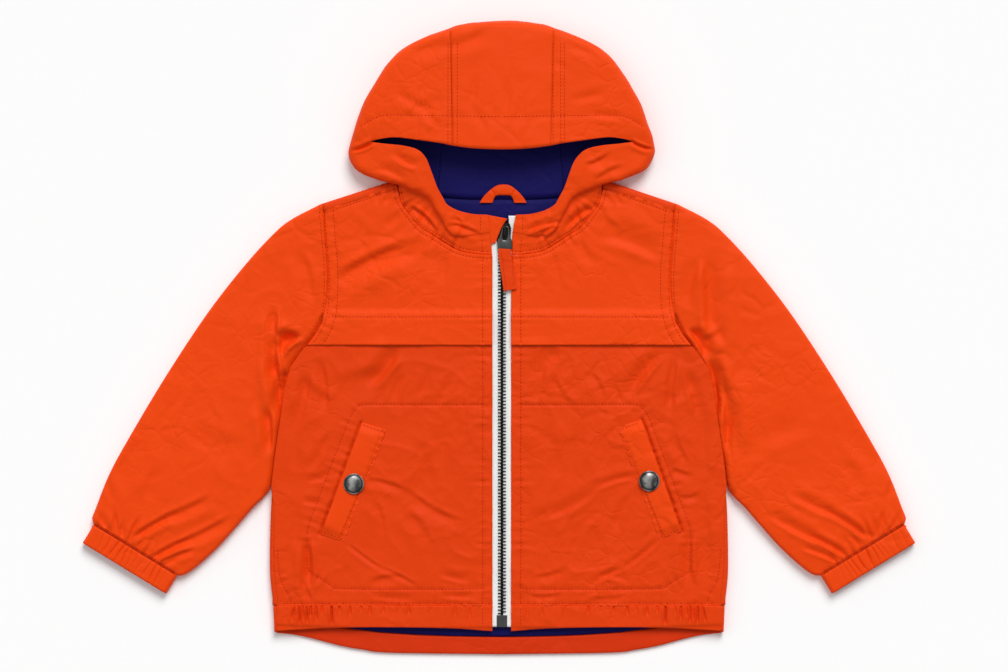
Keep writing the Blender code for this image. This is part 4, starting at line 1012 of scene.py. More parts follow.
def make_hem():
    inner = [(PLACKET_X, FRONT_HEM[0][1]), (PLACKET_X, HEM_SEAM_Y)]
    seam_x = HEM_SIDE_X - 1.0
    outer = [(seam_x, FRONT_HEM[-1][1]), (seam_x + 0.4, HEM_SEAM_Y)]
    patch = Patch(curve(joined(FRONT_HEM[:-1], outer[:1]), 6), [inner[1], outer[1]], inner, outer)
    for label, side in SIDES:
        gathers = []
        for gather in HEM_GATHERS:
            x = side * gather.out
            foot = (x - side * gather.slant, HEM_SEAM_Y - gather.reach)
            gathers.append(Fold((x, HEM_SEAM_Y + 2.0), foot, 0.0, 0.9, 1.7 * gather.depth))

        def height(x, y):
            dip = read(((0, 0), (90, -1.4), (163, 1.6)), np.abs(x))
            edge = -1.1 * ease((-214.6 - y + dip) / 3.4) ** 2
            top = -0.3 * ease(y - HEM_SEAM_Y + 1.0)
            turn = -0.9 * ease((np.abs(x) - 164.6) / 2.6) ** 2
            puckers = 0.35 * np.sin(x / 0.95 + np.sin(x / 6.0)) * np.exp((y - HEM_SEAM_Y) / 2.5)
            rise = fold_relief(x, y, gathers) + crumple(x, y, 0.5, 31.0 + side) + puckers
            return LAID_HEIGHT + 0.2 + rise + edge + top + turn

        grid = patch_grid(patch, side, spaced(160.0, 0.5), spaced(18.0, 0.9), height)
        made = cloth_object("Hem_front_" + label, [grid], "shaded_shell", wall=1.2)
        lay(made, "hem_front_" + label, (0.154, 0.0187))
    make_back_hem()
    make_hem_lining()


def make_back_hem():
    """The back's hem: an outer layer whose foot turns up into its facing and whose sides roll over."""
    radius = (7.9 - UNDERSIDE) / 2
    head_y = HEM_SEAM_Y - SEAM_GAP
    roll, turn = 1.5, 1.5
    outer = [(HEM_SIDE_X - roll, BACK_HEM[-1][1]), (HEM_SIDE_X + 0.8 - roll, head_y)]
    patch = Patch(curve(BACK_HEM, 8), [(0.0, head_y), outer[1]], [BACK_HEM[0], (0.0, head_y)], outer)
    plan = patch.points(spaced(164.0, 2.0), spaced(24.0, 3.0))
    grids = []
    for sign in (-1, 1):
        flat = np.stack([sign * plan[..., 0], plan[..., 1], np.full(plan.shape[:2], UNDERSIDE)], axis=-1)
        edge = flat[0]
        rows = [edge]
        for angle in np.radians((-60, -30, 0, 30, 60, 90)):
            rows.append(edge + (0.0, -turn * math.cos(angle) * 0.8, turn * (1 + math.sin(angle))))
        facing_top = read(HEM_FACING_TOP, np.abs(edge[:, 0]))
        for share in (0.12, 0.3, 0.5, 0.7, 0.88, 1.0):
            y = edge[:, 1] * (1 - share) + facing_top * share
            ripple = 0.3 * np.sin(edge[:, 0] / 13.0 + 2 * share) + 0.2 * np.sin(edge[:, 0] / 4.1)
            rows.append(np.column_stack([edge[:, 0], y, UNDERSIDE + 2 * turn + ripple * share]))
        side_edge = flat[:, -1]
        side_rows = []
        for angle in np.radians(range(-90, 91, 15)):
            side_rows.append(side_edge + (sign * roll * math.cos(angle), 0.0, radius * (1 + math.sin(angle))))
        side_rows.append(side_edge + (-sign * 1.2, 0.0, 2 * radius - 1.6))
        grids += [flat, np.array(rows), np.array(side_rows)]
    for grid in grids:
        grid[..., 0] = settle(grid[..., 0], grid[..., 1])
    made = cloth_object("Hem_back", grids, "shaded_shell", wall=0.6)
    # The turned-up facing takes the darker facing cloth: painted shade under the front hem.
    made.data.materials.append(material("facing"))
    for face in made.data.polygons:
        face.material_index = int(2.0 * MM < face.center.z < 4.4 * MM and abs(face.normal.z) > 0.7)
    lay(made, "hem_back", (0.36, 0.05))


def make_hem_lining():
    x = np.linspace(0.0, 138.0, 60)
    foot, head = read(HEM_FACING_TOP, x) + 0.7, HEM_SEAM_Y - 3.0
    grids = []
    for sign in (-1, 1):
        rows = []
        for share in np.linspace(0, 1, 12):
            z = 2.5 + 0.35 * np.sin(x / 11.0 + 3 * share)
            rows.append(settled(sign * x, foot * (1 - share) + head * share, z))
        grids.append(np.array(rows))
    made = cloth_object("Hem_lining", grids, "lining", 0.5)
    lay(made, "hem_lining", (0.276, 0.021))


# ---------------------------------------------------------------- the hood


def mirrored(row):
    """A row of HOOD for the other side: its x values change sign."""
    return [-value if i in (0, 4, 7, 10) else value for i, value in enumerate(row)]


HOOD_ROUND = [mirrored(row) for row in HOOD] + [list(row) for row in HOOD[-2::-1]]
HOOD_LAST = len(HOOD_ROUND) - 1
HOOD_SEAMS = (HOOD_SEAM, HOOD_LAST - HOOD_SEAM)


def hood_section(place, count):
    """The middle of the hood's cloth from its opening edge over the rim to the neck seam."""
    first = min(int(place), HOOD_LAST - 1)
    near = (np.array(HOOD_ROUND[min(max(first + i, 0), HOOD_LAST)]) for i in (-1, 0, 1, 2))
    row = between(*near, place - first)
    edge, crest, rim, under, neck = row[0:3], row[3], row[4:7], row[7:10], row[10:13]
    outward = np.array([*(rim - edge)[:2], 0.0])
    reach = np.linalg.norm(outward)
    outward = outward / reach
    rim = rim - outward * (HOOD_WALL / 2)
    turn = rim - outward * min(RIM_ROUND, 0.4 * reach)
    turn[2] = crest
    points = [edge + (turn - edge) * share for share in (0.0, 0.3, 0.65, 1.0)]
    for angle in np.radians((22, 45, 67, 90)):
        place_on = turn + (rim - turn) * math.sin(angle)
        place_on[2] = rim[2] + (crest - rim[2]) * math.cos(angle)
        points.append(place_on)
    for angle in np.radians((22, 45, 67, 90)):
        place_on = rim + (under - rim) * (1 - math.cos(angle))
        place_on[2] = rim[2] + (under[2] - rim[2]) * math.sin(angle)
        points.append(place_on)
    points += [under + (neck - under) * share for share in (0.35, 0.7, 1.0)]
    return along(curve(points, 5), np.linspace(0, 1, count))


def hood_cloth(first, last, count, added=()):
    """Places round the hood, the grid of points there and the grid's outward normals."""
    places = np.sort(np.concatenate([np.linspace(first, last, int(round((last - first) * 9)) + 1), added]))
    grid = np.array([hood_section(place, count) for place in places])
    normals = np.cross(np.gradient(grid, axis=0), np.gradient(grid, axis=1))
    normals = normals / np.maximum(np.linalg.norm(normals, axis=2), 1e-9)[..., None]
    highest = np.unravel_index(np.argmax(grid[..., 2]), grid.shape[:2])
    return places, grid, normals * (1.0 if normals[highest][2] > 0 else -1.0)


def from_hood_seams(places):
    """How far places round the hood are from the nearer of its seams, in millimetres."""
    return np.minimum(*(np.abs(places - seam) for seam in HOOD_SEAMS)) * 17.0


def under_neighbour(grid):
    """The grid with its neck edge carried on below the cloth that it is sewn to."""
    ahead = grid[:, -1] - grid[:, -4]
    ahead[:, 2] = 0.0
    ahead /= np.linalg.norm(ahead, axis=1)[:, None]
    front = ease((grid[:, -1, 2] - 3.0) / 3.0)
    added = []
    grid[:, -1, 2] -= 0.35 * front
    for reach, drop in ((0.7, 0.6), (2.2, 1.5)):
        edge = grid[:, -1] + ahead * (reach * (0.3 + 0.7 * front))[:, None]
        edge[:, 2] -= drop * front
        added.append(edge)
    return np.concatenate([grid, np.stack(added, axis=1)], axis=1)


def make_hood():
    look = bpy.context.scene.jacket
    first_seam, other_seam = HOOD_SEAMS
    under = 0.05
    seams = [Seam(line, 0.4, 0.35, 4.0) for label, _ in SIDES for line in hood_lines(label)]
    seams += [Seam(line, 0.6, 0.6, 6.0) for line in both(HOOD_HEM_LINE)]
    seams += [Seam(line, 0.35, 0.3, 4.0) for line in both(COLLAR_LINE) + both(COLLAR_LOWER_LINE)]
    seams += [Seam(line, 0.4, 1.0, 9.0) for line in both(NECK_COLLAR_LINE)]
    for label, start, end, seam, flat, area in (
        ("left", 0.0, first_seam + under, first_seam, (0.13, 0.2), 0.0165),
        ("center", first_seam, other_seam, None, (0.1, 0.26), 0.0195),
        ("right", other_seam - under, HOOD_LAST, other_seam, (0.13, 0.2), 0.0165),
    ):
        beside = [] if seam is None else [seam - 0.012, seam + 0.012]
        places, grid, normals = hood_cloth(start, end, 84, beside)
        x, y, z = (grid[..., k] for k in range(3))
        world_x = settle(x, y)
        upward = ease((normals[..., 2] - 0.05) / 0.5) * ease((z - 4.0) / 4.0)
        rise = fold_relief(world_x, y, HOOD_FOLDS, look.fold_scale)
        rise = rise + seam_relief(world_x, y, seams)
        rise = rise * upward + crumple(world_x + z, y + z, 0.5, 41.0) * ease((z - 1.5) / 3.0)
        seam_groove = 0.2 * np.exp(-((from_hood_seams(places) / 1.3) ** 2))
        rise = rise - seam_groove[:, None] * ease((z - 1.5) / 3.0)
        if seam is not None:
            past = (places - seam) * (1 if label == "left" else -1)
            rise = rise - (1.35 * ease(past / 0.03))[:, None]
        grid = under_neighbour(grid + normals * rise[..., None])
        made = cloth_object("Hood_" + label, [settled(*np.moveaxis(grid, 2, 0))], wall=1.1, offset=0.0)
        lay(made, "hood_" + label, flat, area)


def make_hood_lining():
    first_seam, other_seam = HOOD_SEAMS
    gap = 0.006
    for label, start, end, flat, area in (
        ("left", HOOD_LINED_FROM, first_seam - gap, (0.09, 0.2), 0.0105),
        ("center", first_seam + gap, other_seam - gap, (0.095, 0.235), 0.019),
        ("right", other_seam + gap, HOOD_LAST - HOOD_LINED_FROM, (0.09, 0.2), 0.0105),
    ):
        places, grid, normals = hood_cloth(start, end, 60)
        x, y, z = (grid[..., k] for k in range(3))
        inwards = 2.2 + 0.5 * np.abs(crumple(x + 2 * z, y, 0.7, 51.0))
        inwards = inwards + (0.6 * np.exp(-((from_hood_seams(places) / 1.5) ** 2)))[:, None]
        grid = settled(*np.moveaxis((grid - normals * inwards[..., None])[:, 3:], 2, 0))
        made = cloth_object("Hood_lining_" + label, [grid], "lining", 0.5, 0.0)
        lay(made, "hood_lining_" + label, flat, area)


def make_neck():
    x = np.linspace(0.0, 66.0, 40)
    foot, head = 86.5, read(BACK_NECK, x) + 1.6
    grids = []
    for sign in (-1, 1):
        rows = []
        for share in np.linspace(0, 1, 14):
            z = 3.4 + 0.3 * np.sin(x / 9.0 + 2 * share) - 1.0 * ease((share - 0.75) / 0.25)
            rows.append(settled(sign * x, foot * (1 - share) + head * share, z))
        grids.append(np.array(rows))
    made = cloth_object("Neck_lining", grids, "lining", 0.5)
    lay(made, "neck_lining", (0.132, 0.0235), 0.0026)
    make_loop()


LOOP_OUTER = (
    (17.7, 100.6), (15.4, 104.4), (12.6, 107.6), (9.6, 110.4), (6.4, 112.8), (3.2, 114.1), (0.0, 114.4)
)
LOOP_INNER = (
    (8.0, 100.6), (7.5, 102.4), (6.9, 104.0), (6.2, 105.2), (4.8, 106.0), (2.6, 106.2), (0.0, 106.2)
)


def make_loop():
    """The hanger loop: a flat strap of shell cloth, folded at its two top corners."""
    rows = []
    share = np.linspace(0, 1, 9)
    for side, order in ((-1, 1), (1, -1)):
        for (ox, oy), (ix, iy) in list(zip(curve(LOOP_OUTER, 6), curve(LOOP_INNER, 6)))[::order]:
            x = 1.2 + side * (ox + (ix - ox) * share)
            y = oy + (iy - oy) * share
            crown = 0.5 * np.sin(math.pi * share) ** 0.5
            lift = 1.4 * ease((y - 101.0) / 10.0) - 0.55 * math.exp(-(((ox - 9.4) / 0.9) ** 2))
            rows.append(settled(x, y, 4.6 + crown + lift))
        if side < 0:
            rows.pop()
    made = cloth_object("Hanger_loop", [np.array(rows)], wall=0.9)
    lay(made, "hanger_loop", (0.052, 0.0102), 0.0004)


# ---------------------------------------------------------------- pockets


def make_pockets():
    sewn_top, free_top, free_foot, sewn_foot = (np.array(corner) for corner in WELT_CORNERS)
    patch = Patch((sewn_foot, free_foot), (sewn_top, free_top), (sewn_foot, sewn_top), (free_foot, free_top))
    for label, side in SIDES:

        def height(x, y):
            plan = side * (x - 0.3)
            sewn, run = near_line(plan, y, (sewn_foot, sewn_top))
            free, _ = near_line(plan, y, (free_foot, free_top))
            ends = ease(np.minimum(run, 88.5 - run) / 9.0 + 0.1)
            level = LAID_HEIGHT - 0.1 + (0.3 + 1.0 * ease(sewn / 5.0) + 1.3 * ease(sewn / 15.0)) * ends
            level = level + fold_relief(x, y, BODY_FOLDS, 0.6) - 0.35 * np.exp(-(((sewn - 2.2) / 0.9) ** 2))
            waves = 0.3 * np.sin(run / 4.2 + side) * np.exp(-free / 5.0)
            puckers = 0.45 * np.sin(run / 0.95 + np.sin(run / 4.0)) * np.exp(-sewn / 3.0)
            from_snap = np.hypot(np.abs(x) - SNAP_PLACE[0], y - SNAP_PLACE[1])
            pressed = 0.6 * np.exp(-((from_snap / 11.0) ** 2))
            return level + waves + puckers - pressed - 0.5 * np.exp(-((free / 0.7) ** 2))

        grid = patch_grid(patch, side, spaced(17.5, 0.8), spaced(89.5, 1.0), height)
        grid[..., :2] += POCKET_SHIFT[side]
        made = cloth_object("Welt_" + label, [grid], wall=1.0)
        lay(made, "welt_" + label, (0.018, 0.0895))
        make_snap(label, side)


# The width that the cap's UV map covers, and how far its foot is sunk, in metres
SNAP_WIDTH = 15.5
SNAP_SUNK = 0.0003
# The cap's section: how far out and how high
SNAP_PROFILE = (
    (0.0, 2.05), (2.2, 2.0), (4.2, 1.78), (5.4, 1.42), (6.2, 1.12), (6.5, 0.95), (6.75, 0.95),
    (7.1, 1.0), (7.45, 0.98), (7.65, 0.92), (7.75, 0.55), (7.6, 0.2), (7.2, 0.05), (0.0, 0.05),
)


def make_snap(label, side):
    """The snap's cap: a dome with a stepped rim, better in metal than its node."""
    mesh = bmesh.new()
    verts = [mesh.verts.new((radius * MM, 0.0, height * MM)) for radius, height in SNAP_PROFILE]
    for a, b in zip(verts, verts[1:]):
        mesh.edges.new((a, b))
    parts = mesh.verts[:] + mesh.edges[:]
    bmesh.ops.spin(mesh, geom=parts, axis=(0, 0, 1), cent=(0, 0, 0), steps=64, angle=2 * math.pi)
    bmesh.ops.remove_doubles(mesh, verts=mesh.verts, dist=1e-6)
    bmesh.ops.recalc_face_normals(mesh, faces=mesh.faces[:])
    plan = mesh.loops.layers.uv.new("Cap")
    for corner in (corner for face in mesh.faces for corner in face.loops):
        corner[plan].uv = (corner.vert.co.xy / MM / SNAP_WIDTH) + Vector((0.5, 0.5))
    low, high = (Vector(corner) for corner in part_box("snap_" + label))
    centre = (low + high) / 2
    shift = [value * MM for value in POCKET_SHIFT[side]]
    place = (centre.x + shift[0], centre.y + shift[1], low.z - SNAP_SUNK)
    bmesh.ops.translate(mesh, verts=mesh.verts, vec=place)
    made = from_bmesh("Snap_" + label, mesh, "snap")
    made.data.shade_smooth()
    stand_in(made, "snap_" + label)


# ---------------------------------------------------------------- zip


TAPE_EDGES = ((-216.6, 0.9, 12), (50, 0.9, 12), (68, 2, 12.2), (74, 5, 12.4), (84, 5.4, 13), (91, 5, 13.6))
TOOTH_PITCH = 2.5
CHAIN_Y = (-206.5, 70.5)


def make_zip():
    y, inner, outer = (np.array(column) for column in zip(*TAPE_EDGES))
    for label, side in SIDES:
        rows = []
        for place in np.arange(-216.6, 91.1 if side > 0 else 84.0, 1.5):
            x = np.linspace(np.interp(place, y, inner), np.interp(place, y, outer), 13)
            z = 6.3 + 0.5 * ease((x - 3.2) / 1.4) + 0.15 * math.sin(place / 9.0 + side)
            rows.append(settled(side * x, np.full(13, place), z))
        made = cloth_object("Zip_tape_" + label, [np.array(rows)], "tape", 0.5)
        lay(made, "zip_tape_" + label, (0.0104, 0.308))
    make_teeth()
    make_garage()


TOOTH = ((3.0, -0.46), (3.0, 0.46), (0.8, 0.42), (-0.4, 0.66), (-0.8, 0.0), (-0.4, -0.66), (0.8, -0.42))


def make_teeth():
    """The zip's metal teeth: clamped on each tape's edge, meeting in the middle by turns."""
    mesh = bmesh.new()
    count = int((CHAIN_Y[1] - CHAIN_Y[0]) / TOOTH_PITCH)
    for i in range(2 * count):
        side = 1 if i % 2 else -1
        y = CHAIN_Y[0] + i * TOOTH_PITCH / 2
        low, high = [], []
        for x, dy in TOOTH:
            inward = max(0.6 - x, 0.0) * 0.35
            place = ((DRIFT + side * x) * MM, (y + dy) * MM)
            low.append(mesh.verts.new((*place, (5.5 + inward) * MM)))
            high.append(mesh.verts.new((*place, (7.4 - inward) * MM)))
        for k in range(len(TOOTH)):
            after = (k + 1) % len(TOOTH)
            mesh.faces.new((low[k], low[after], high[after], high[k]))
        mesh.faces.new(high)
        mesh.faces.new(low[::-1])
    bmesh.ops.recalc_face_normals(mesh, faces=mesh.faces[:])
    made = from_bmesh("Zip_teeth", mesh, "teeth")
    edge = made.modifiers.new("Edge", "BEVEL")
    edge.width = 0.14 * MM
    edge.segments = 1
    stand_in(made, "zip_chain")


def make_garage():
    """The folded tab over the top of the zip's left side."""
    left = curve(((-10.7, 91.4), (-9.9, 84.0), (-8.7, 77.0), (-7.8, 69.8)), 6)
    right = curve(((4.2, 88.6), (1.2, 84.4), (-1.6, 79.0), (-4.7, 70.4)), 6)
    across, up = np.linspace(0, 1, 16), np.linspace(0, 1, 26)
    plan = Patch([left[0], right[0]], [left[-1], right[-1]], left, right).points(across, up)
    x, y = plan[..., 0], plan[..., 1]
    fold = 0.7 * np.exp(-(((across[None, :] - 0.14 - 0.35 * up[:, None]) / 0.1) ** 2))
    z = 9.0 - 0.4 * across[None, :] + fold * (1 - up[:, None]) - 0.4 * up[:, None]
    made = cloth_object("Zip_garage", [settled(x, y, z)], wall=0.8)
    lay(made, "zip_garage", (0.0145, 0.0225), 0.00018)


LINK_OUTLINE = (
    (6.5, 83.1), (7.3, 82), (8, 79), (8.3, 75.6), (9.5, 72.4), (9.9, 69), (9.7, 65.4), (6, 64.9),
    (2.4, 64.8), (-0.6, 65.4), (-1.1, 69), (-1.2, 72.4), (0.3, 74.8), (1.4, 78), (2.4, 81.2),
    (3.2, 82.8), (4.9, 83.2),
)
LINK_HOLE = (4.6, 77.5)
LINK_HOLE_TILT = math.radians(86.0)
# The link's section, from its hole's edge over its top and back below: how far out, and its height
LINK_SECTION = (
    (0.0, -0.4), (0.0, 0.2), (0.08, 0.45), (0.25, 0.6), (0.6, 0.65), (0.86, 0.5),
    (0.96, 0.3), (1.0, 0.0), (0.96, -0.3), (0.5, -0.5), (0.0, -0.4),
)


def make_pull():
    for node, key in (("zip_slider", "teeth"), ("zip_stop_box", "metal")):
        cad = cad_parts[node]
        cad.data.materials.clear()
        cad.data.materials.append(material(key))
    make_pull_link()
    make_pull_strip()


def make_pull_link():
    """The metal link that hangs from the slider: rounded, with a slanting eye near its top."""
    low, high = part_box("zip_pull_link")
    middle = (low[2] + high[2]) / 2 / MM
    centre = np.array(LINK_HOLE)
    holes = []
    outline = curve((*LINK_OUTLINE, LINK_OUTLINE[0]), 6)
    for away in outline - centre:
        angle = math.atan2(away[1], away[0]) - LINK_HOLE_TILT
        long_way, short_way = abs(math.cos(angle)) / 4.7, abs(math.sin(angle)) / 1.8
        holes.append(centre + away / np.linalg.norm(away) / (long_way**4 + short_way**4) ** 0.25)
    rings = []
    for share, height in LINK_SECTION:
        ring = [hole + (point - hole) * share for hole, point in zip(holes, outline)]
        rings.append([(*point, middle + height) for point in ring])
    made = cloth_object("Pull_link", [np.array(rings)], "metal", wall=0.0)
    stand_in(made, "zip_pull_link", "pull_tab")


# The strip's path down from the link: x, y and height, half its thickness, and its lean in degrees
STRIP_PATH = (
    (0.0, -16.6, 0.0, 1.35, 0.0), (0.0, -19.2, 0.0, 1.35, 2.0), (0.4, -22.5, 0.25, 0.95, 8.0),
    (1.2, -26.0, 0.35, 0.85, 12.0), (3.6, -36.5, 0.35, 0.85, 12.5), (5.9, -47.2, 0.35, 0.85, 12.5),
)
STRIP_TOP = (5.7, 82.6, 8.75)


def make_pull_strip():
    """The cloth strip looped through the link: two layers, folded round its bar."""
    rings = []
    for x, y, z, half, degrees in along(curve(STRIP_PATH, 5), np.linspace(0, 1, 46)):
        angle = math.radians(degrees)
        across = np.array([math.cos(angle), math.sin(angle), 0.0])
        ring = []
        for at in np.linspace(0, 2 * math.pi, 29)[:-1]:
            wide, high = math.cos(at), math.sin(at)
            shape = np.sign(wide) * abs(wide) ** 0.35 * 4.9
            thick = np.sign(high) * abs(high) ** 0.5 * half * 0.8
            stitched = -0.25 * math.exp(-(((abs(shape) - 3.9) / 0.35) ** 2)) * (high > 0)
            ring.append(np.array([x, y, z + thick + stitched]) + across * shape)
        rings.append([*ring, ring[0]])
    grid = np.array(rings)
    x, y = grid[..., 0].copy(), grid[..., 1].copy()
    turn = math.radians(-4.0)
    c, s = math.cos(turn), math.sin(turn)
    grid[..., 0] = x * c - y * s + STRIP_TOP[0]
    grid[..., 1] = x * s + y * c + STRIP_TOP[1]
    grid[..., 2] += STRIP_TOP[2]
    made = cloth_object("Pull_strip", [grid], "shaded_shell", wall=0.0)
    caps = bmesh.new()
    caps.from_mesh(made.data)
    bmesh.ops.holes_fill(caps, edges=[edge for edge in caps.edges if edge.is_boundary], sides=0)
    bmesh.ops.recalc_face_normals(caps, faces=caps.faces[:])
    caps.to_mesh(made.data)
    caps.free()
    stand_in(made, "zip_pull_strip", "pull_tab")


# ---------------------------------------------------------------- sewing


def stitches(name, pieces, lines, body="jacket", pitch=None, thick=None):
    """Rows of short threads that lie on the upper side of some pieces, as one joined mesh."""
    look = bpy.context.scene.jacket
    pitch = pitch or look.stitch_pitch / MM
    thick = thick or look.stitch_width / MM / 2
    graph = bpy.context.evaluated_depsgraph_get()
    trees = [BVHTree.FromObject(bpy.data.objects[piece], graph) for piece in pieces]

    def surface(point):
        start = Vector((point[0] * MM, point[1] * MM, 0.08))
        hits = [tree.ray_cast(start, Vector((0, 0, -1)))[0] for tree in trees]
        hits = [hit for hit in hits if hit is not None]
        return max(hits, key=lambda hit: hit.z) if hits else None

    mesh = bmesh.new()
    for line in lines:
        total = lengths(line)[-1]
        count = int(total / pitch)
        starts = along(line, (np.arange(count) + 0.12) * pitch / total)
        ends = along(line, (np.arange(count) + 0.88) * pitch / total)
        for a, b in zip(starts, ends):
            start, end = surface(a), surface(b)
            if start is None or end is None or abs(start.z - end.z) > 1.5 * MM:
                continue
            add_thread(mesh, start, end, thick * MM)
    made = from_bmesh(name, mesh, "thread")
    made.data.shade_smooth()
    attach(made, body)


def add_thread(mesh, start, end, radius):
    """One stitch: a six-sided thread, half sunk, that comes up between its two tips."""
    ahead = (end - start).normalized()
    aside = ahead.cross(Vector((0, 0, 1))).normalized()
    up = aside.cross(ahead)
    rings = []
    for share, size in ((0.14, 0.75), (0.5, 1.0), (0.86, 0.75)):
        centre = start.lerp(end, share) + up * (radius * (0.9 * size - 0.45))
        ring = []
        for angle in (math.pi * k / 3 for k in range(6)):
            away = (aside * math.cos(angle) + up * math.sin(angle)) * radius * size
            ring.append(mesh.verts.new(centre + away))
        rings.append(ring)
    tips = [mesh.verts.new(point - up * radius * 0.9) for point in (start, end)]
    for near, far in zip(rings, rings[1:]):
        for k in range(6):
            mesh.faces.new((near[k], near[(k + 1) % 6], far[(k + 1) % 6], far[k]))
    for k in range(6):
        mesh.faces.new((rings[0][(k + 1) % 6], rings[0][k], tips[0]))
        mesh.faces.new((rings[-1][k], rings[-1][(k + 1) % 6], tips[1]))


STRIP_LINES = (
    ((1.7, 63.6), (5.3, 35.6)),
    ((9.3, 63.4), (11.2, 37.0)),
    ((2.6, 58.2), (9.8, 57.4)),
    ((2.8, 57.0), (9.8, 56.2)),
)


def welt_lines(side):
    """A welt's sewing: beside its sewn edge and across both ends."""
    sewn_top, free_top, free_foot, sewn_foot = (np.array(corner) for corner in WELT_CORNERS)
    inwards = (free_top - sewn_top) * 0.13
    lines = (
        [sewn_foot + inwards + (0.9, 2.6), sewn_top + inwards - (0.9, 2.6)],
        [sewn_top + (0.6, -2.4), free_top + (-0.6, -2.2)],
        [sewn_foot + (0.6, 2.2), free_foot + (-0.8, 2.2)],
    )
    return [line + np.array(POCKET_SHIFT[side]) for line in sides_of(lines, side)]


def make_sewing():
    stitches("Sewing_pull_strip", ["Pull_strip"], STRIP_LINES, "pull_tab", 1.5, 0.16)
    collar = (HOOD_HEM_LINE, NECK_COLLAR_LINE, COLLAR_LINE, COLLAR_LOWER_LINE)
    for label, side in SIDES:
        for name, piece, lines in (
            ("front", "Front", sides_of(FRONT_LINES, side)),
            ("yoke", "Yoke", sides_of(YOKE_LINES, side)),
            ("sleeve", "Sleeve", sides_of((ARMHOLE_SLEEVE_LINE, CUFF_LINE), side)),
            ("hem", "Hem_front", sides_of((HEM_PLACKET,), side)),
            ("welt", "Welt", welt_lines(side)),
        ):
            stitches(f"Sewing_{name}_{label}", [f"{piece}_{label}"], lines)
        lines = hood_lines(label) + sides_of(collar, side)
        stitches("Sewing_hood_" + label, ["Hood_" + label, "Hood_center"], lines)


# ---------------------------------------------------------------- stage


def make_stage():
    scene = bpy.context.scene
    look = scene.jacket
    scene.view_settings.view_transform = "Standard"
    bpy.ops.mesh.primitive_plane_add(size=6.0, location=(0.0, 0.0, 0.0))
    floor = bpy.context.object
    floor.name = "Floor"
    graph = Graph("Pale floor")
    shade = graph.mix(graph.noise(3.0), tint(look.floor_color, 1.0), tint(look.floor_color, 0.995))
    floor.data.materials.append(graph.finish(Base_Color=shade, Roughness=0.9, Specular_IOR_Level=0.1))

    world = scene.world or bpy.data.worlds.new("World")
    scene.world = world
    world.use_nodes = True
    background = world.node_tree.nodes["Background"]
    background.inputs["Color"].default_value = (1.0, 1.0, 1.0, 1.0)
    background.inputs["Strength"].default_value = look.ambient

    for name, place, softness, power in (
        ("Key", (0.35, 1.25, 1.35), look.key_softness, look.key_power),
        ("Fill", (-1.3, 0.3, 1.6), 1.2, look.fill_power),
    ):
        light = bpy.data.lights.new(name, "SUN")
        light.angle = softness
        light.energy = power
        lamp = bpy.data.objects.new(name, light)
        lamp.location = place
        lamp.rotation_euler = (-Vector(place)).to_track_quat("-Z", "Y").to_euler()
        scene.collection.objects.link(lamp)

    camera = bpy.data.cameras.new("Camera")
    camera.sensor_width = 36.0
    camera.lens = camera.sensor_width * CAMERA_HEIGHT / PICTURE_WIDTH
    camera.clip_end = 20.0
    eye = bpy.data.objects.new("Camera", camera)
    eye.location = (0.00375, 0.00094, CAMERA_HEIGHT)
    scene.collection.objects.link(eye)
    scene.camera = eye


# ---------------------------------------------------------------- add-on


def colour_setting(name, words, value):
    return bpy.props.FloatVectorProperty(name=name, description=words, subtype="COLOR", default=value)


def size_setting(name, words, value):
    return bpy.props.FloatProperty(name=name, description=words, unit="LENGTH", default=value)


def number_setting(name, words, value, **more):
    return bpy.props.FloatProperty(name=name, description=words, default=value, **more)


class JacketSettings(bpy.types.PropertyGroup):
    """Colours and sizes of the jacket's cloth and sewing."""

    shell_color: colour_setting("Outer cloth", "Colour of the outer cloth", (0.86, 0.06, 0.0015))
    # A darker copy of the outer cloth: painted shade for the back, fronts, hems and pull strip
    low_color: colour_setting("Lower fronts", "Colour of the lower fronts", (0.77, 0.049, 0.0012))
    # A darker copy of the outer cloth: painted shade on the turned-up hem
    facing_color: colour_setting("Facing", "Colour of the turned-in hem, darkened as painted shade", (0.67, 0.034, 0.0015))
    lining_color: colour_setting("Lining", "Colour of the lining", (0.006, 0.004, 0.095))
    # The cloth's orange darkened: painted shade of the stitch grooves
    thread_color: colour_setting("Thread", "Colour of the sewing", (0.5, 0.018, 0.002))
    tape_color: colour_setting("Zip tape", "Colour of the zip's tape", (0.97, 0.99, 0.96))
    teeth_color: colour_setting("Zip teeth", "Colour of the zip's teeth", (0.022, 0.022, 0.02))
    metal_color: colour_setting("Metal", "Colour of the snaps and slider", (0.11, 0.11, 0.108))
    floor_color: colour_setting("Floor", "Colour of the floor", (0.988, 0.984, 0.984))
    weave_pitch: number_setting("Weave pitch", "Millimetres from one thread of the cloth to the next", 0.55)
    fold_scale: number_setting("Fold depth", "Multiplies the depth of every crease", 1.0, min=0.0)
    crease_depth: size_setting("Small creases", "Depth of the crisp small creases", 0.00046)
    sleeve_crown: size_setting("Sleeve crown", "How far the sleeves stand up in their middle", 0.0016)
    stitch_pitch: size_setting("Stitch pitch", "Length of one stitch", 0.0026)
    stitch_width: size_setting("Stitch width", "Thickness of the thread", 0.00046)
    ambient: number_setting("Ambient", "Strength of the surround", 0.36)
    key_power: number_setting("Key light", "Strength of the key", 2.3)
    key_softness: number_setting("Key softness", "Angle across the key light", 0.6, unit="ROTATION")
    fill_power: number_setting("Fill", "Strength of the fill", 0.45)


class JACKET_OT_back(bpy.types.Operator):
    """Make the back, folded round its sides and shoulders."""

    bl_idname = "jacket.back"
    bl_label = "Back"

    def execute(self, context):
        make_back()
        return {"FINISHED"}


class JACKET_OT_fronts(bpy.types.Operator):
    """Make the lower fronts."""

    bl_idname = "jacket.fronts"
    bl_label = "Fronts"

    def execute(self, context):
        make_fronts()
        return {"FINISHED"}


class JACKET_OT_yokes(bpy.types.Operator):
    """Make the front yokes with their free flaps."""

    bl_idname = "jacket.yokes"
    bl_label = "Yokes"

    def execute(self, context):
        make_yokes()
        return {"FINISHED"}


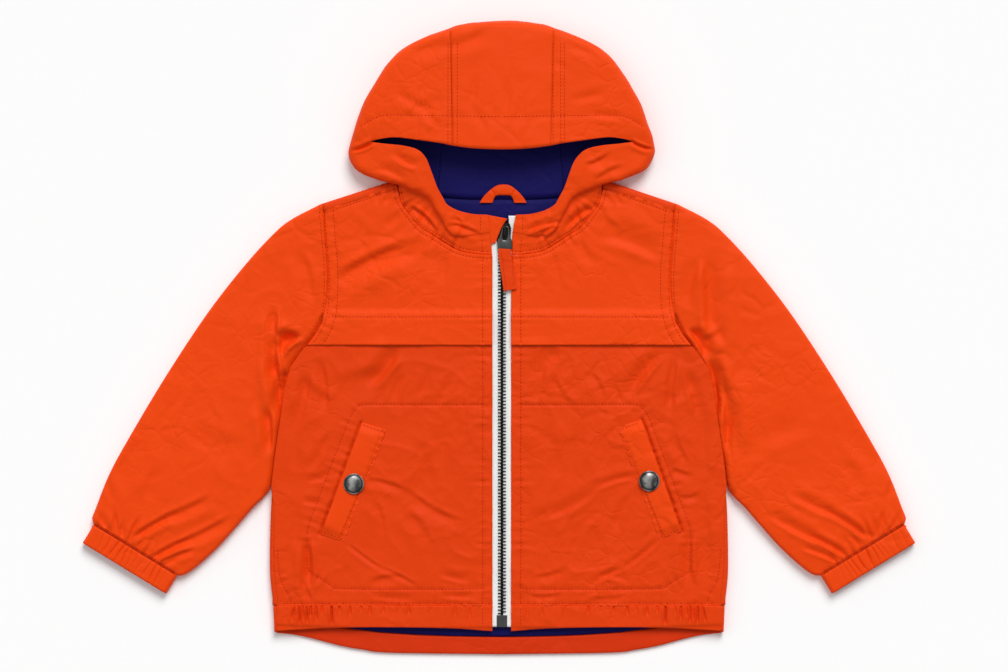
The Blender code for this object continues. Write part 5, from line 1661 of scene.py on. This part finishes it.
class JACKET_OT_sleeves(bpy.types.Operator):
    """Make the sleeves."""

    bl_idname = "jacket.sleeves"
    bl_label = "Sleeves"

    def execute(self, context):
        make_sleeves()
        return {"FINISHED"}


class JACKET_OT_cuffs(bpy.types.Operator):
    """Make the gathered cuffs."""

    bl_idname = "jacket.cuffs"
    bl_label = "Cuffs"

    def execute(self, context):
        make_cuffs()
        return {"FINISHED"}


class JACKET_OT_hem(bpy.types.Operator):
    """Make the hem bands and the lining above them."""

    bl_idname = "jacket.hem"
    bl_label = "Hem"

    def execute(self, context):
        make_hem()
        return {"FINISHED"}


class JACKET_OT_hood(bpy.types.Operator):
    """Make the three panels of the hood."""

    bl_idname = "jacket.hood"
    bl_label = "Hood"

    def execute(self, context):
        make_hood()
        return {"FINISHED"}


class JACKET_OT_hood_lining(bpy.types.Operator):
    """Make the lining inside the hood."""

    bl_idname = "jacket.hood_lining"
    bl_label = "Hood lining"

    def execute(self, context):
        make_hood_lining()
        return {"FINISHED"}


class JACKET_OT_neck(bpy.types.Operator):
    """Make the neck lining and the hanger loop."""

    bl_idname = "jacket.neck"
    bl_label = "Neck"

    def execute(self, context):
        make_neck()
        return {"FINISHED"}


class JACKET_OT_pockets(bpy.types.Operator):
    """Make the pocket welts and their snaps."""

    bl_idname = "jacket.pockets"
    bl_label = "Pockets"

    def execute(self, context):
        make_pockets()
        return {"FINISHED"}


class JACKET_OT_zip(bpy.types.Operator):
    """Make the zip's tapes, teeth and top tab."""

    bl_idname = "jacket.zip"
    bl_label = "Zip"

    def execute(self, context):
        make_zip()
        return {"FINISHED"}


class JACKET_OT_pull(bpy.types.Operator):
    """Finish the slider, link and box, and make the pull strip."""

    bl_idname = "jacket.pull"
    bl_label = "Pull"

    def execute(self, context):
        make_pull()
        return {"FINISHED"}


class JACKET_OT_sewing(bpy.types.Operator):
    """Sew the rows of stitches on the made pieces."""

    bl_idname = "jacket.sewing"
    bl_label = "Sewing"

    def execute(self, context):
        make_sewing()
        return {"FINISHED"}


class JACKET_OT_stage(bpy.types.Operator):
    """Make the floor, lights and camera."""

    bl_idname = "jacket.stage"
    bl_label = "Stage"

    def execute(self, context):
        make_stage()
        return {"FINISHED"}


OPERATORS = (
    JACKET_OT_back,
    JACKET_OT_fronts,
    JACKET_OT_yokes,
    JACKET_OT_sleeves,
    JACKET_OT_cuffs,
    JACKET_OT_hem,
    JACKET_OT_hood,
    JACKET_OT_hood_lining,
    JACKET_OT_neck,
    JACKET_OT_pockets,
    JACKET_OT_zip,
    JACKET_OT_pull,
    JACKET_OT_sewing,
    JACKET_OT_stage,
)


class JACKET_PT_panel(bpy.types.Panel):
    """The jacket's settings and makers."""

    bl_label = "Jacket"
    bl_idname = "JACKET_PT_panel"
    bl_space_type = "VIEW_3D"
    bl_region_type = "UI"
    bl_category = "Jacket"

    def draw(self, context):
        for name in JacketSettings.__annotations__:
            self.layout.prop(context.scene.jacket, name)
        for made in OPERATORS:
            self.layout.operator(made.bl_idname)


CLASSES = (JacketSettings, *OPERATORS, JACKET_PT_panel)


def register():
    for made in CLASSES:
        bpy.utils.register_class(made)
    bpy.types.Scene.jacket = bpy.props.PointerProperty(type=JacketSettings)


def unregister():
    del bpy.types.Scene.jacket
    for made in reversed(CLASSES):
        bpy.utils.unregister_class(made)


def main():
    register()
    for made in OPERATORS:
        getattr(bpy.ops.jacket, made.bl_idname.split(".")[1])()


if __name__ == "__main__":
    main()
